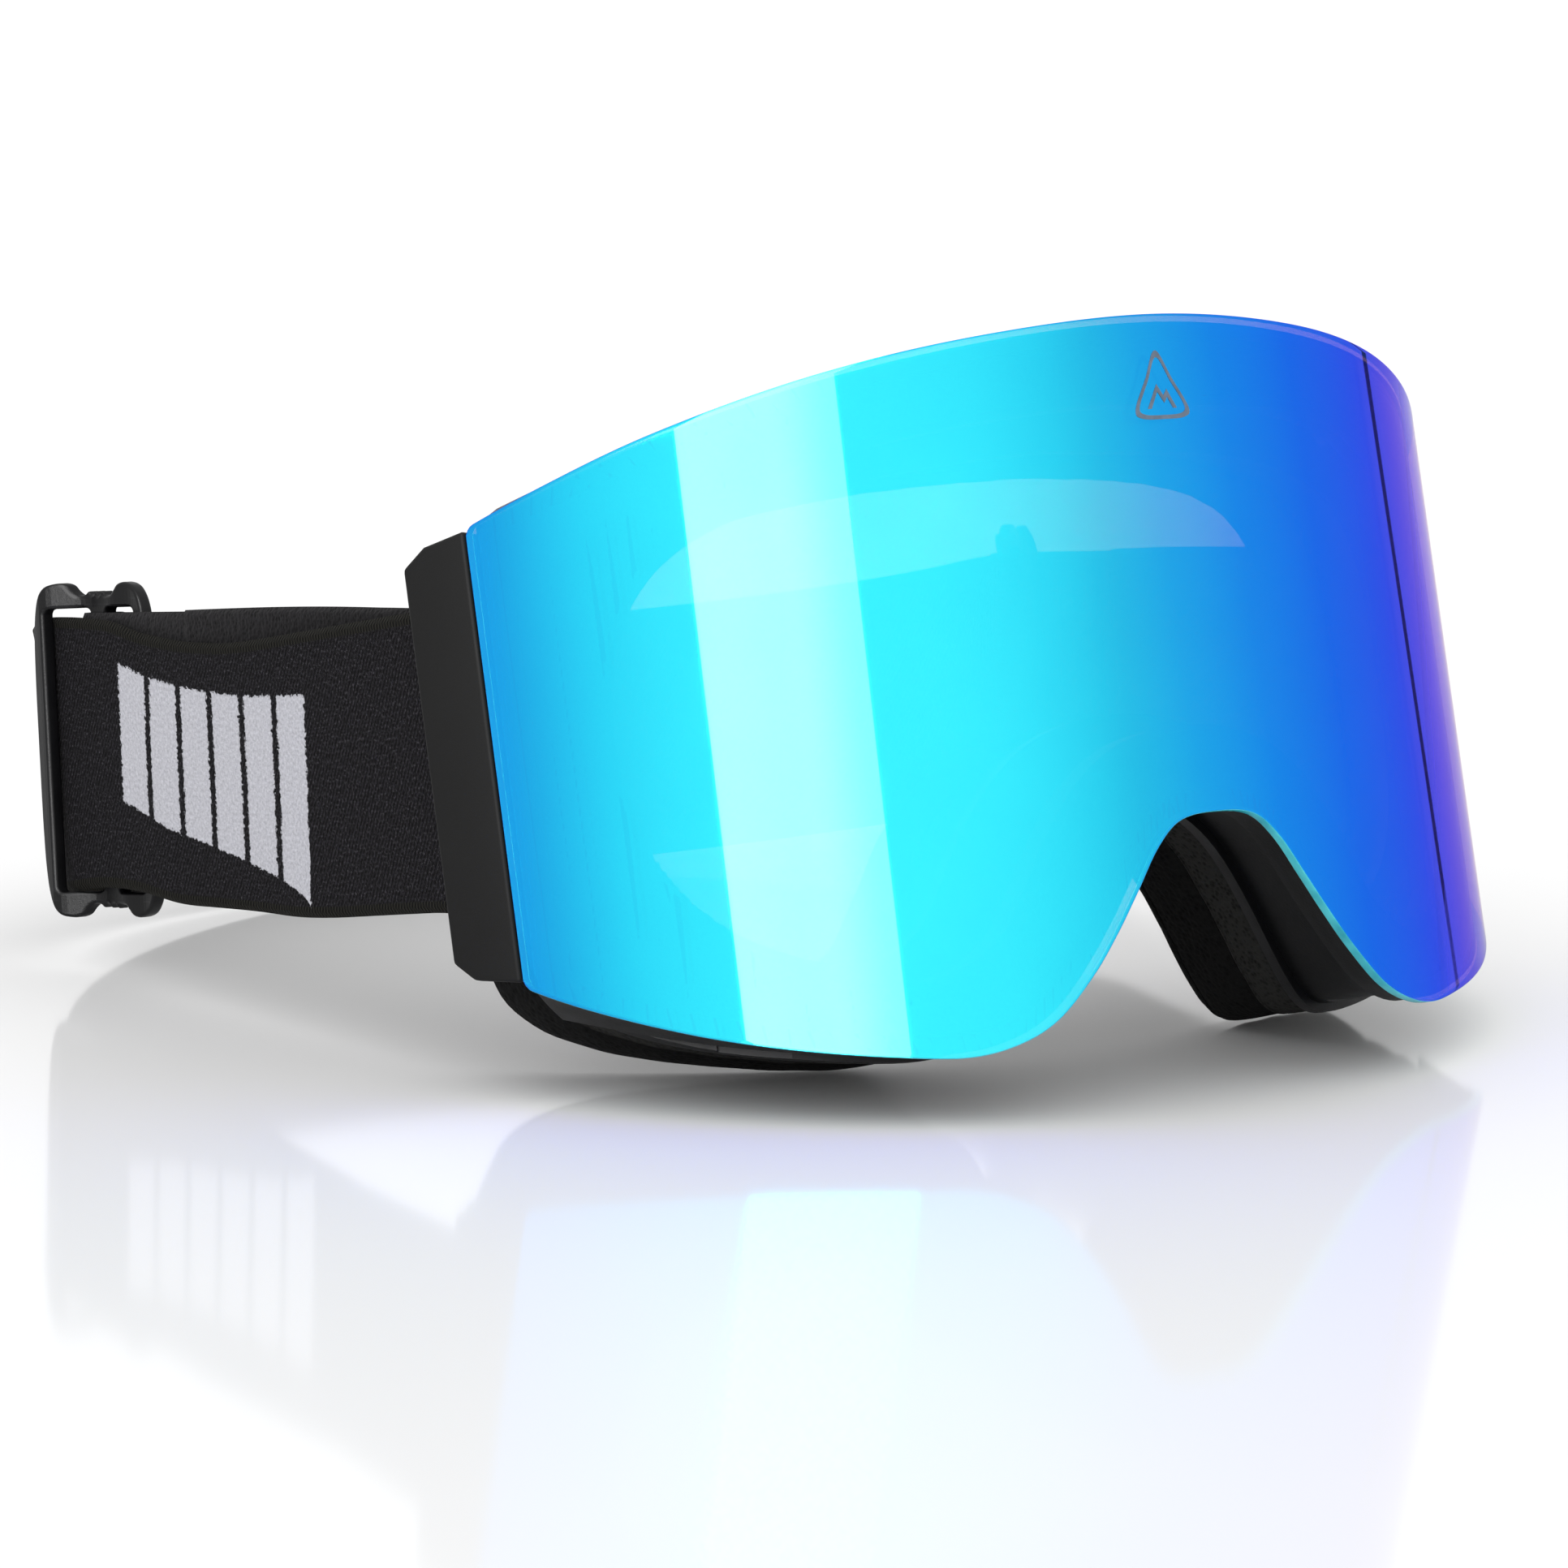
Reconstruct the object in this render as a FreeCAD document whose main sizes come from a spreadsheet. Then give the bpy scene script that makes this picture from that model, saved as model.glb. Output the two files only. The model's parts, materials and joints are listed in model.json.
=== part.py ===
import FreeCAD, Part
import math
import os
from FreeCAD import Placement, Rotation, Vector

# Ski goggles: a curved mirror lens in a magnetic carrier, a hollow frame with face foam,
# and an elastic strap looped through a bar and a slider on each side.
#
# The modelling axes follow the lens: X to the wearer's left, Y from the lens back to the face,
# Z up the lens, origin at the middle of the lens's outer surface. Every piece is then leaned
# back by lean_angle and moved so that the origin of the part is the bottom centre of its box.

SIZES = {
    "lean_angle": 14.25,
    "shift_y": -102.44,
    "shift_z": 55.44,
    "blank_height": 130.0,
    # lens and carrier, all cylinders about one upright axis
    "lens_radius": 84.0,
    "lens_thickness": 1.4,
    "lens_half_angle": 65.8,
    "spacer_thickness": 2.4,
    "ring_margin": 3.5,
    "inner_lens_thickness": 0.8,
    "carrier_depth": 5.1,
    "carrier_rim": 2.1,
    "magnet_radius": 2.0,
    "magnet_thickness": 1.2,
    # frame
    "seat_gap": 0.2,
    "seat_thickness": 2.3,
    "wall_thickness": 2.0,
    "back_vertex": 22.0,
    "back_radius": 93.0,
    "flange_thickness": 2.0,
    "flange_lip": 1.2,
    "frame_half_width": 71.2,
    "vent_length": 13.0,
    "vent_depth": 5.4,
    "vent_foam_thickness": 1.4,
    # face foam
    "foam_half_width": 72.0,
    "base_vertex": 30.0,
    "base_radius": 96.0,
    "soft_vertex": 44.0,
    "soft_radius": 100.0,
    "fleece_vertex": 45.2,
    "fleece_radius": 101.0,
    # temple pieces, measured along and inward from the lens's side edge
    "cover_length": 10.5,
    "cover_wall": 1.8,
    "cover_depth": 5.5,
    "cover_top": 30.3,
    "cover_bottom": -29.0,
    "bar_radius": 1.4,
    "bar_length": 47.6,
    "screw_radius": 0.9,
    "screw_head_radius": 1.8,
    # strap
    "strap_width": 40.0,
    "strap_thickness": 1.2,
    "strap_flare": 3.1,
    "strap_tilt": 8.65,
    "strap_height": 1.1,
    "strap_straight": 106.0,
    "strap_back_depth": 44.0,
    "strap_back_rise": -0.75,
    "wrap_gap": 0.1,
    # slider
    "slider_distance": 98.7,
    "slider_length": 21.0,
    "slider_height": 48.0,
    "slider_window": 41.2,
    "slider_bar": 2.9,
    "slider_recess": 1.3,
    "tail_length": 28.0,
}

# Outer edge of the lens from the top centre to the nose notch: distance along the lens's
# curve from its middle, and height.
LENS_EDGE = [
    (0.0, 46.1), (24.8, 44.8), (46.2, 42.2), (67.8, 37.9), (84.0, 33.7), (99.0, 29.6),
    (99.0, -28.4), (89.3, -32.7), (78.2, -36.9), (67.7, -40.3), (57.5, -42.9), (47.4, -44.9),
    (38.5, -46.1), (31.9, -45.3), (26.3, -42.8), (20.9, -37.8), (16.9, -32.9), (13.4, -28.0),
    (9.6, -22.6), (5.7, -19.4), (0.0, -18.7),
]
LENS_CORNERS = (5, 6)

# Outer edge of the frame's back flange and of the face foam: X and Z.
FACE_EDGE = [
    (0.0, 43.4), (20.0, 42.9), (40.0, 40.6), (56.0, 36.4), (66.0, 31.6), (71.0, 25.0),
    (72.0, 14.0), (72.0, -12.0), (71.2, -24.0), (68.0, -33.0), (60.0, -39.0), (48.0, -43.0),
    (36.0, -45.2), (28.6, -44.6), (24.0, -39.6), (20.6, -33.2), (17.4, -27.2), (13.4, -21.4),
    (7.6, -16.8), (0.0, -15.0),
]

# Edge of the opening the wearer looks through: X and Z.
EYE_EDGE = [
    (0.0, 31.6), (24.0, 30.8), (42.0, 28.2), (55.0, 22.4), (61.0, 12.0), (62.0, 0.0),
    (60.8, -12.0), (56.0, -22.4), (47.0, -29.6), (38.0, -32.0), (32.0, -29.4), (27.4, -22.4),
    (21.6, -13.2), (13.0, -6.0), (0.0, -3.4),
]

# Magnet centres on one half: distance along the lens's curve, and height.
MAGNETS = [(20.0, 37.4), (52.0, 33.2), (36.0, -39.2), (54.0, -37.0)]

# Vent slots in the frame's wall: X, and +1 for the top wall or -1 for the bottom wall.
TOP_VENTS = [-34.0, -17.0, 0.0, 17.0, 34.0]
BOTTOM_VENTS = [-52.0, -37.0, 37.0, 52.0]

SCREW_HEIGHTS = [15.0, -13.0]

doc = FreeCAD.newDocument("SkiGoggles")
sheet = doc.addObject("Spreadsheet::Sheet", "Sizes")
for row, (alias, value) in enumerate(SIZES.items(), start=1):
    sheet.set("A%d" % row, alias)
    sheet.set("B%d" % row, str(value))
    sheet.setAlias("B%d" % row, alias)
doc.recompute()

pieces = []


def size(alias):
    return float(sheet.get(alias))


def bind(feature, prop, expression):
    """Tie a property to the sheet; words starting with @ are aliases."""
    feature.setExpression(prop, expression.replace("@", "Sizes."))


def keep(feature, label, local=None):
    """Register a sub-part and lean it back into the part's own frame."""
    feature.Label = label
    lean = Rotation(Vector(1, 0, 0), -size("lean_angle"))
    leaned = Placement(Vector(0, size("shift_y"), size("shift_z")), lean)
    if local is None:
        feature.Placement = leaned
        bind(feature, "Placement.Base.y", "@shift_y")
        bind(feature, "Placement.Base.z", "@shift_z")
    else:
        feature.Placement = leaned.multiply(local)
    pieces.append(feature)
    return feature


def origin_plane(body, role):
    return next(item for item in body.Origin.OriginFeatures if item.Role == role)


def sketch(body, name, role, geometry):
    drawing = body.newObject("Sketcher::SketchObject", name)
    drawing.AttachmentSupport = [(origin_plane(body, role), "")]
    drawing.MapMode = "FlatFace"
    drawing.addGeometry(geometry, False)
    return drawing


def polygon(points):
    """Closed run of straight sketch lines; equal neighbours are not allowed."""
    ends = points[1:] + points[:1]
    return [Part.LineSegment(Vector(*a, 0), Vector(*b, 0)) for a, b in zip(points, ends)]


def rectangle(x_low, x_high, y_low, y_high):
    return polygon([(x_low, y_low), (x_high, y_low), (x_high, y_high), (x_low, y_high)])


def spline(points):
    curve = Part.BSplineCurve()
    curve.interpolate([Vector(x, y, 0) for x, y in points])
    return curve


def pad(body, drawing, name, length):
    feature = body.newObject("PartDesign::Pad", name)
    feature.Profile = drawing
    feature.Midplane = True
    bind(feature, "Length", length)
    drawing.Visibility = False
    return feature


def pocket(body, drawing, name):
    """Cut a sketch right through in both directions and make sure that it removed something."""
    doc.recompute()
    before = body.Shape.Volume
    feature = body.newObject("PartDesign::Pocket", name)
    feature.Profile = drawing
    feature.Type = "ThroughAll"
    feature.Midplane = True
    doc.recompute()
    if body.Shape.Volume > before - 0.01:
        raise RuntimeError("%s removed nothing from %s" % (name, body.Name))
    return feature


def fillet(body, name, chosen, radius):
    """Round the edges of the body's tip that the test function picks."""
    doc.recompute()
    tip = body.Tip
    names = ["Edge%d" % (i + 1) for i, edge in enumerate(tip.Shape.Edges) if chosen(edge)]
    if not names:
        raise RuntimeError("%s found no edge" % name)
    feature = body.newObject("PartDesign::Fillet", name)
    feature.Base = (tip, names)
    bind(feature, "Radius", radius)
    doc.recompute()
    return feature


def edge_spans(edge, axis, low, high):
    """True when both ends of an edge lie between two values on an axis (0, 1 or 2)."""
    return all(low <= vertex.Point[axis] <= high for vertex in edge.Vertexes)


# ---------------------------------------------------------------- outlines


def arc_x(distance):
    """X of a point given by its distance along the lens's curve."""
    return size("lens_radius") * math.sin(distance / size("lens_radius"))


def lens_points():
    limit = 89.9 * math.pi / 180 * size("lens_radius")
    return [(arc_x(min(u, limit)), z) for u, z in LENS_EDGE]


def inset(half, gap, corners=()):
    """Move a half outline inward; the two middle points only move in Z."""
    mirrored = [(-x, z) for x, z in reversed(half[1:-1])]
    loop = half + mirrored
    moved = []
    for i, (x, z) in enumerate(half):
        before = loop[i - 1]
        after = loop[(i + 1) % len(loop)]
        dx = after[0] - before[0]
        dz = after[1] - before[1]
        reach = math.hypot(dx, dz)
        step = gap * (1.35 if i in corners else 1.0)
        moved.append((x + step * dz / reach, z - step * dx / reach))
    moved[0] = (0.0, moved[0][1])
    moved[-1] = (0.0, moved[-1][1])
    return moved


def outline(half, corners=()):
    """Closed symmetrical outline; smooth except at the corner points."""
    if not corners:
        loop = half + [(-x, z) for x, z in reversed(half[1:-1])]
        curve = Part.BSplineCurve()
        curve.interpolate(Points=[Vector(x, z, 0) for x, z in loop], PeriodicFlag=True)
        return [curve]
    upper, lower = corners
    top = [(-x, z) for x, z in reversed(half[1:upper + 1])] + half[:upper + 1]
    bottom = half[lower:] + [(-x, z) for x, z in reversed(half[lower:-1])]
    right = Part.LineSegment(Vector(*top[-1], 0), Vector(*bottom[0], 0))
    left = Part.LineSegment(Vector(*bottom[-1], 0), Vector(*top[0], 0))
    return [spline(top), right, spline(bottom), left]


def surface_y(vertex, radius, x):
    """Y of an upright cylinder that starts at vertex on the middle plane."""
    return vertex + radius - math.sqrt(radius * radius - x * x)


def band(front, back, front_x, back_x):
    """Plan of a curved plate between two cylinders, each given as (vertex, radius)."""
    f_end = surface_y(front[0], front[1], front_x)
    b_end = surface_y(back[0], back[1], back_x)
    f_arc = Part.Arc(Vector(-front_x, f_end, 0), Vector(0, front[0], 0), Vector(front_x, f_end, 0))
    b_arc = Part.Arc(Vector(-back_x, b_end, 0), Vector(0, back[0], 0), Vector(back_x, b_end, 0))
    right = Part.LineSegment(Vector(front_x, f_end, 0), Vector(back_x, b_end, 0))
    left = Part.LineSegment(Vector(-back_x, b_end, 0), Vector(-front_x, f_end, 0))
    return [f_arc, right, b_arc, left]


def shell(name, plan, outer, inner=None):
    """Curved plate: the plan raised to the blank height and trimmed to an outline."""
    body = doc.addObject("PartDesign::Body", name)
    pad(body, sketch(body, name + "_plan", "XY_Plane", plan), name + "_blank", "@blank_height")
    frame = rectangle(-120, 120, -90, 90)
    pocket(body, sketch(body, name + "_edge", "XZ_Plane", frame + outer), name + "_trim")
    if inner:
        pocket(body, sketch(body, name + "_hole", "XZ_Plane", inner), name + "_opening")
    return body


def cylinder_band(outer_offset, inner_offset, angle):
    """Band between two cylinders about the lens's axis, with ends square to the curve."""
    r_out = size("lens_radius") - outer_offset
    r_in = size("lens_radius") - inner_offset
    reach = math.sin(math.radians(angle))
    return band((outer_offset, r_out), (inner_offset, r_in), r_out * reach, r_in * reach)


# ---------------------------------------------------------------- lens and its carrier

thickness = size("lens_thickness")
half_angle = size("lens_half_angle")
lens_edge = lens_points()
lens_back = thickness + size("spacer_thickness")
inner_back = lens_back + size("inner_lens_thickness")
carrier_back = thickness + size("carrier_depth")
degree = math.radians(1) * size("lens_radius")

lens = shell("lens", cylinder_band(0, thickness, half_angle), outline(lens_edge, LENS_CORNERS))
keep(lens, "outer_lens")

spacer = shell(
    "spacer",
    cylinder_band(thickness, lens_back, half_angle - 3.2 / degree),
    outline(inset(lens_edge, 3.2, LENS_CORNERS), LENS_CORNERS),
    outline(inset(EYE_EDGE, -size("ring_margin") - 1.0)),
)
keep(spacer, "lens_spacer")

inner_lens = shell(
    "inner",
    cylinder_band(lens_back, inner_back, half_angle - 3.2 / degree),
    outline(inset(lens_edge, 3.2, LENS_CORNERS), LENS_CORNERS),
)
keep(inner_lens, "inner_lens")


carrier_edge = outline(inset(lens_edge, 0.8, LENS_CORNERS), LENS_CORNERS)
rim_edge = inset(lens_edge, 0.8 + size("carrier_rim"), LENS_CORNERS)
rim_reach = arc_x((half_angle - (0.8 + size("carrier_rim")) / degree) * degree) - 1.0
rim_hole = [(min(x, rim_reach), z) for x, z in rim_edge]
lip_front = inner_back + 0.1
carrier_wall = shell(
    "carrier_wall",
    cylinder_band(thickness, lip_front, half_angle - 0.8 / degree),
    carrier_edge,
    outline(rim_hole, LENS_CORNERS),
)
carrier_lip = shell(
    "carrier_lip",
    cylinder_band(lip_front, carrier_back, half_angle - 0.8 / degree),
    carrier_edge,
    outline(inset(EYE_EDGE, -size("ring_margin"))),
)


def radial_pin(name, distance, height, radius, outer_offset, length):
    """Cylinder square to the lens's curve, starting outer_offset inside its surface."""
    pin = doc.addObject("Part::Cylinder", name)
    bind(pin, "Radius", radius)
    bind(pin, "Height", length)
    angle = distance / size("lens_radius")
    inward = Vector(-math.sin(angle), math.cos(angle), 0)
    start = size("lens_radius") - outer_offset
    foot = Vector(start * math.sin(angle), size("lens_radius") - start * math.cos(angle), height)
    pin.Placement = Placement(foot, Rotation(Vector(0, 0, 1), inward))
    return pin


def fuse(name, parts):
    joined = doc.addObject("Part::MultiFuse", name)
    joined.Shapes = parts
    return joined


def cut(name, base, tool):
    result = doc.addObject("Part::Cut", name)
    result.Base = base
    result.Tool = tool
    return result


def magnet_set(name, outer_offset):
    spots = MAGNETS + [(-u, z) for u, z in MAGNETS]
    return fuse(name, [
        radial_pin("%s_%d" % (name, i), u, z, "@magnet_radius", outer_offset, "@magnet_thickness")
        for i, (u, z) in enumerate(spots)
    ])


seat_front = carrier_back + size("seat_gap")
seat_back = seat_front + size("seat_thickness")
magnet_front = carrier_back - size("magnet_thickness")
carrier_ring = fuse("carrier_ring", [carrier_wall, carrier_lip])
keep(cut("carrier", carrier_ring, magnet_set("magnet_pocket", magnet_front)), "lens_carrier")
keep(magnet_set("carrier_disc", magnet_front), "carrier_magnets")
keep(magnet_set("frame_disc", seat_back + 0.05), "frame_magnets")

# ---------------------------------------------------------------- frame

back_surface = (size("back_vertex"), size("back_radius"))
flange_front = (
    size("back_vertex") - size("flange_thickness"),
    size("back_radius") + size("flange_thickness"),
)
seat_surface = (seat_front, size("lens_radius") - seat_front)
frame_x = size("frame_half_width")
frame_edge = inset(FACE_EDGE, size("flange_lip"))

wall = shell(
    "wall",
    band(seat_surface, back_surface, frame_x, frame_x),
    outline(frame_edge),
    outline(inset(frame_edge, size("wall_thickness"))),
)
seat = shell(
    "seat",
    band(seat_surface, (seat_back, size("lens_radius") - seat_back), frame_x, frame_x - 4.2),
    outline(frame_edge),
    outline(inset(EYE_EDGE, -size("ring_margin"))),
)
flange = shell(
    "flange",
    band(flange_front, back_surface, size("foam_half_width") - 3.5, size("foam_half_width")),
    outline(FACE_EDGE),
    outline(EYE_EDGE),
)

# Temple axes: along runs back from the lens's side edge, inward is square to it.
temple = math.radians(half_angle)
edge_point = Vector(
    size("lens_radius") * math.sin(temple),
    size("lens_radius") * (1 - math.cos(temple)),
    0,
)


def temple_xy(side, along, inward):
    x = edge_point.x + along * math.cos(temple) - inward * math.sin(temple)
    y = edge_point.y + along * math.sin(temple) + inward * math.cos(temple)
    return (side * x, y)


def temple_block(name, side, corners, low, high):
    """Upright prism on the temple axes between two heights."""
    body = doc.addObject("PartDesign::Body", name)
    plan = polygon([temple_xy(side, a, n) for a, n in corners])
    pad(body, sketch(body, name + "_plan", "XY_Plane", plan), name + "_blank", "@blank_height")
    above = rectangle(-20, 120, high, 90)
    below = rectangle(-20, 120, -90, low)
    pocket(body, sketch(body, name + "_ends", "YZ_Plane", above + below), name + "_trim")
    return body


EAR = [(0.4, 6.8), (1.9, 5.7), (2.1, 4.6), (5.5, 4.6), (5.5, 6.0), (2.0, 7.0), (0.4, 7.4)]
ears = [temple_block("ear_%s" % tag, side, EAR, -26.0, 27.0) for tag, side in (("l", 1), ("r", -1))]


def vent_slot(name, x, upward):
    """Upright slot through the top or bottom wall, turned to follow the frame."""
    slot = doc.addObject("Part::Box", name)
    bind(slot, "Length", "@vent_length")
    bind(slot, "Width", "@vent_depth")
    slot.Height = 20
    front = surface_y(seat_back, size("lens_radius") - seat_back, abs(x))
    back = surface_y(flange_front[0], flange_front[1], abs(x))
    middle = Vector(x, (front + back) / 2, 24.0 if upward else -50.0)
    slope = math.degrees(math.asin(x / size("lens_radius")))
    turn = Rotation(Vector(0, 0, 1), slope)
    corner = turn.multVec(Vector(size("vent_length") / 2, size("vent_depth") / 2, 0))
    slot.Placement = Placement(middle.sub(corner), turn)
    return slot


slots = [vent_slot("top_vent_%d" % i, x, True) for i, x in enumerate(TOP_VENTS)]
slots += [vent_slot("bottom_vent_%d" % i, x, False) for i, x in enumerate(BOTTOM_VENTS)]


def temple_pin(name, side, height, radius, inward, length):
    """Pin along the inward temple axis, in the middle of the bracket's base."""
    pin = doc.addObject("Part::Cylinder", name)
    bind(pin, "Radius", radius)
    pin.Height = length
    x, y = temple_xy(side, 3.75, inward)
    direction = Vector(-side * math.sin(temple), math.cos(temple), 0)
    pin.Placement = Placement(Vector(x, y, height), Rotation(Vector(0, 0, 1), direction))
    return pin


def screw_pins(name, radius, inward, length):
    return [
        temple_pin("%s_%d_%d" % (name, side + 1, row), side, height, radius, inward, length)
        for side in (-1, 1)
        for row, height in enumerate(SCREW_HEIGHTS)
    ]


def vent_foam(name, boxes):
    """Thin foam strip inside the frame's wall, behind the magnets and under the vent slots."""
    inner_wall = inset(frame_edge, size("wall_thickness"))
    start = seat_back + size("magnet_thickness") + 0.3
    strip = shell(
        name + "_strip",
        band((start, size("lens_radius") - start), flange_front, 57.0, 57.0),
        outline(inner_wall),
        outline(inset(inner_wall, size("vent_foam_thickness"))),
    )
    limits = []
    for i, (x_low, x_high, z_low, z_high) in enumerate(boxes):
        box = doc.addObject("Part::Box", "%s_limit_%d" % (name, i))
        box.Length = x_high - x_low
        box.Width = 80
        box.Height = z_high - z_low
        box.Placement = Placement(Vector(x_low, 0, z_low), Rotation())
        limits.append(box)
    common = doc.addObject("Part::MultiCommon", name)
    tool = limits[0] if len(limits) == 1 else fuse(name + "_limits", limits)
    common.Shapes = [strip, tool]
    return common


keep(vent_foam("vent_top", [(-44.0, 44.0, 20.0, 60.0)]), "top_vent_foam")
keep(vent_foam("vent_low", [(-56.0, -29.5, -60, -25), (29.5, 56.0, -60, -25)]), "bottom_vent_foam")

# ---------------------------------------------------------------- face foam


def face_layer(name, front, back, gap, opening_gap):
    reach = size("foam_half_width") - gap
    return shell(
        name,
        band(front, back, reach, reach),
        outline(inset(FACE_EDGE, gap)),
        outline(inset(EYE_EDGE, -opening_gap)),
    )


base_surface = (size("base_vertex"), size("base_radius"))
soft_surface = (size("soft_vertex"), size("soft_radius"))
fleece_surface = (size("fleece_vertex"), size("fleece_radius"))
keep(face_layer("foam_base", back_surface, base_surface, 0.6, 1.0), "face_foam_base")
keep(face_layer("foam_soft", base_surface, soft_surface, 0.9, 0.0), "face_foam_soft")
keep(face_layer("fleece", soft_surface, fleece_surface, 2.6, 1.6), "face_fleece")

# ---------------------------------------------------------------- temple covers and brackets

BAR_ALONG = 8.2
BAR_INWARD = 5.2
cover_wall = size("cover_wall")
cover_end = 0.4 + size("cover_length")


def side_cover(tag, side):
    """Open-backed cap over the strap's bracket, flush with the lens."""
    body = doc.addObject("PartDesign::Body", "cover_" + tag)
    depth = size("cover_depth")
    outer = [(0.4, 0.0), (cover_end, 0.0), (cover_end, depth), (1.8, depth), (0.4, 4.4)]
    plan = polygon([temple_xy(side, a, n) for a, n in outer])
    pad(body, sketch(body, "cover_plan_" + tag, "XY_Plane", plan), "cover_blank_" + tag, "@blank_height")
    front_y = temple_xy(1, 0.4, 0)[1]
    back_y = temple_xy(1, cover_end, depth)[1] + 1
    rise = size("cover_top")
    drop = size("cover_bottom")
    edge = [
        (front_y - 1, rise), (back_y - 6.5, rise - 1.2), (back_y - 2.5, rise - 4.0),
        (back_y + 1, rise - 9.5), (back_y + 1, drop + 10.0), (back_y - 2.5, drop + 4.6),
        (back_y - 6.0, drop + 1.4), (front_y - 1, drop),
    ]
    frame = rectangle(-20, 120, -90, 90)
    pocket(body, sketch(body, "cover_edge_" + tag, "YZ_Plane", frame + polygon(edge)), "cover_trim_" + tag)
    return body


def cover_cavity(tag, side):
    """Room for the bracket and the strap, open towards the face and the back."""
    low = size("cover_bottom") + 2.6
    high = size("cover_top") - 2.9
    reach = [(1.8, cover_wall), (cover_end + 2, cover_wall), (cover_end + 2, 9.0), (1.8, 9.0)]
    return temple_block("cavity_" + tag, side, reach, low, high)


BRACKET_BASE = [(1.95, 1.95), (5.5, 1.95), (5.5, 4.5), (1.95, 4.5)]
BRACKET_ARM = [(1.95, 1.95), (10.5, 1.95), (10.5, 6.6), (7.0, 6.6), (5.5, 4.5), (1.95, 4.5)]
ARM_HEIGHTS = [(22.6, 27.2), (-26.2, -20.9)]


def bar(tag, side):
    rod = doc.addObject("Part::Cylinder", tag)
    bind(rod, "Radius", "@bar_radius")
    bind(rod, "Height", "@bar_length")
    x, y = temple_xy(side, BAR_ALONG, BAR_INWARD)
    rod.Placement = Placement(Vector(x, y, 0.85 - size("bar_length") / 2), Rotation())
    return rod


def strap_bracket(tag, side):
    parts = [temple_block("bracket_base_" + tag, side, BRACKET_BASE, -26.2, 27.2)]
    for i, (low, high) in enumerate(ARM_HEIGHTS):
        parts.append(temple_block("bracket_arm_%s_%d" % (tag, i), side, BRACKET_ARM, low, high))
    tools = [bar("bar_hole_" + tag, side)]
    for i, height in enumerate(SCREW_HEIGHTS):
        tools.append(temple_pin("clear_%s_%d" % (tag, i), side, height, "@screw_radius + 0.1", 1.0, 5))
        tools.append(temple_pin("sink_%s_%d" % (tag, i), side, height, "@screw_head_radius + 0.1", 1.0, 2.3))
    return cut("bracket_" + tag, fuse("bracket_solid_" + tag, parts), fuse("bracket_tools_" + tag, tools))


for tag, side in (("right", -1), ("left", 1)):
    keep(cut("side_cover_" + tag, side_cover(tag, side), cover_cavity(tag, side)), "side_cover_" + tag)
    keep(strap_bracket(tag, side), "strap_bracket_" + tag)
    rod = bar("bar_" + tag, side)
    keep(rod, "strap_bar_" + tag, rod.Placement)

screws = []
for head, shank in zip(
    screw_pins("head", "@screw_head_radius", 2.0, 1.3),
    screw_pins("shank", "@screw_radius", 2.6, 3.6),
):
    screws += [head, shank]
keep(fuse("screws", screws), "bracket_screws")

# ---------------------------------------------------------------- strap

flare = math.radians(size("strap_flare"))
tilt = math.radians(size("strap_tilt"))
ply = size("strap_thickness")
wrap_inner = size("bar_radius") + size("wrap_gap")
wrap_outer = wrap_inner + ply
bar_x, bar_y = temple_xy(1, BAR_ALONG, BAR_INWARD)
straight = size("strap_straight")


def strap_xy(side, out, along):
    """Plan position on one side of the strap: out from the bar's centre, and back from it."""
    x = bar_x + out * math.cos(flare) + along * math.sin(flare)
    y = bar_y - out * math.sin(flare) + along * math.cos(flare)
    return (side * x, y)


def strap_line(side, first, second):
    return Part.LineSegment(Vector(*strap_xy(side, *first), 0), Vector(*strap_xy(side, *second), 0))


def strap_wrap(side, radius):
    ends = [strap_xy(side, out, along) for out, along in ((-radius, 0), (0, -radius), (radius, 0))]
    return Part.Arc(*[Vector(x, y, 0) for x, y in ends])


def strap_back(radius):
    x, y = strap_xy(1, radius, straight)
    depth = size("strap_back_depth") + radius - wrap_outer
    ellipse = Part.Ellipse(Vector(0, y, 0), x, depth)
    return Part.ArcOfEllipse(ellipse, 0, math.pi)


def centre_height(y):
    """Height of the strap's centre line where it leaves the frame."""
    return size("strap_height") + (y - bar_y) * math.tan(tilt) / math.cos(flare)


turn_y = strap_xy(1, wrap_outer, straight)[1]


def strap_side_view(start_y, shift):
    """Edge of the strap seen from the side: it rises, then levels out round the head."""
    half = size("strap_width") / 2
    rising = half / math.cos(tilt)
    back_y = turn_y + size("strap_back_depth") + 2
    turn_z = centre_height(turn_y)
    back_z = turn_z + size("strap_back_rise")
    return [
        (start_y, centre_height(start_y) - rising + shift), (turn_y, turn_z - half + shift),
        (back_y, back_z - half + shift), (back_y, back_z + half + shift),
        (turn_y, turn_z + half + shift), (start_y, centre_height(start_y) + rising + shift),
    ]


strap = doc.addObject("PartDesign::Body", "strap_body")
strap_plan = [strap_back(wrap_outer), strap_back(wrap_inner)]
for side in (1, -1):
    strap_plan += [
        strap_wrap(side, wrap_inner),
        strap_wrap(side, wrap_outer),
        strap_line(side, (-wrap_outer, 0), (-wrap_inner, 0)),
        strap_line(side, (wrap_outer, 0), (wrap_outer, straight)),
        strap_line(side, (wrap_inner, 0), (wrap_inner, straight)),
    ]
pad(strap, sketch(strap, "strap_plan", "XY_Plane", strap_plan), "strap_blank", "@blank_height")
frame = rectangle(-20, 300, -90, 90)
strap_edge = polygon(strap_side_view(bar_y - 8, 0))
pocket(strap, sketch(strap, "strap_edge", "YZ_Plane", frame + strap_edge), "strap_trim")
keep(strap, "strap")

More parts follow.
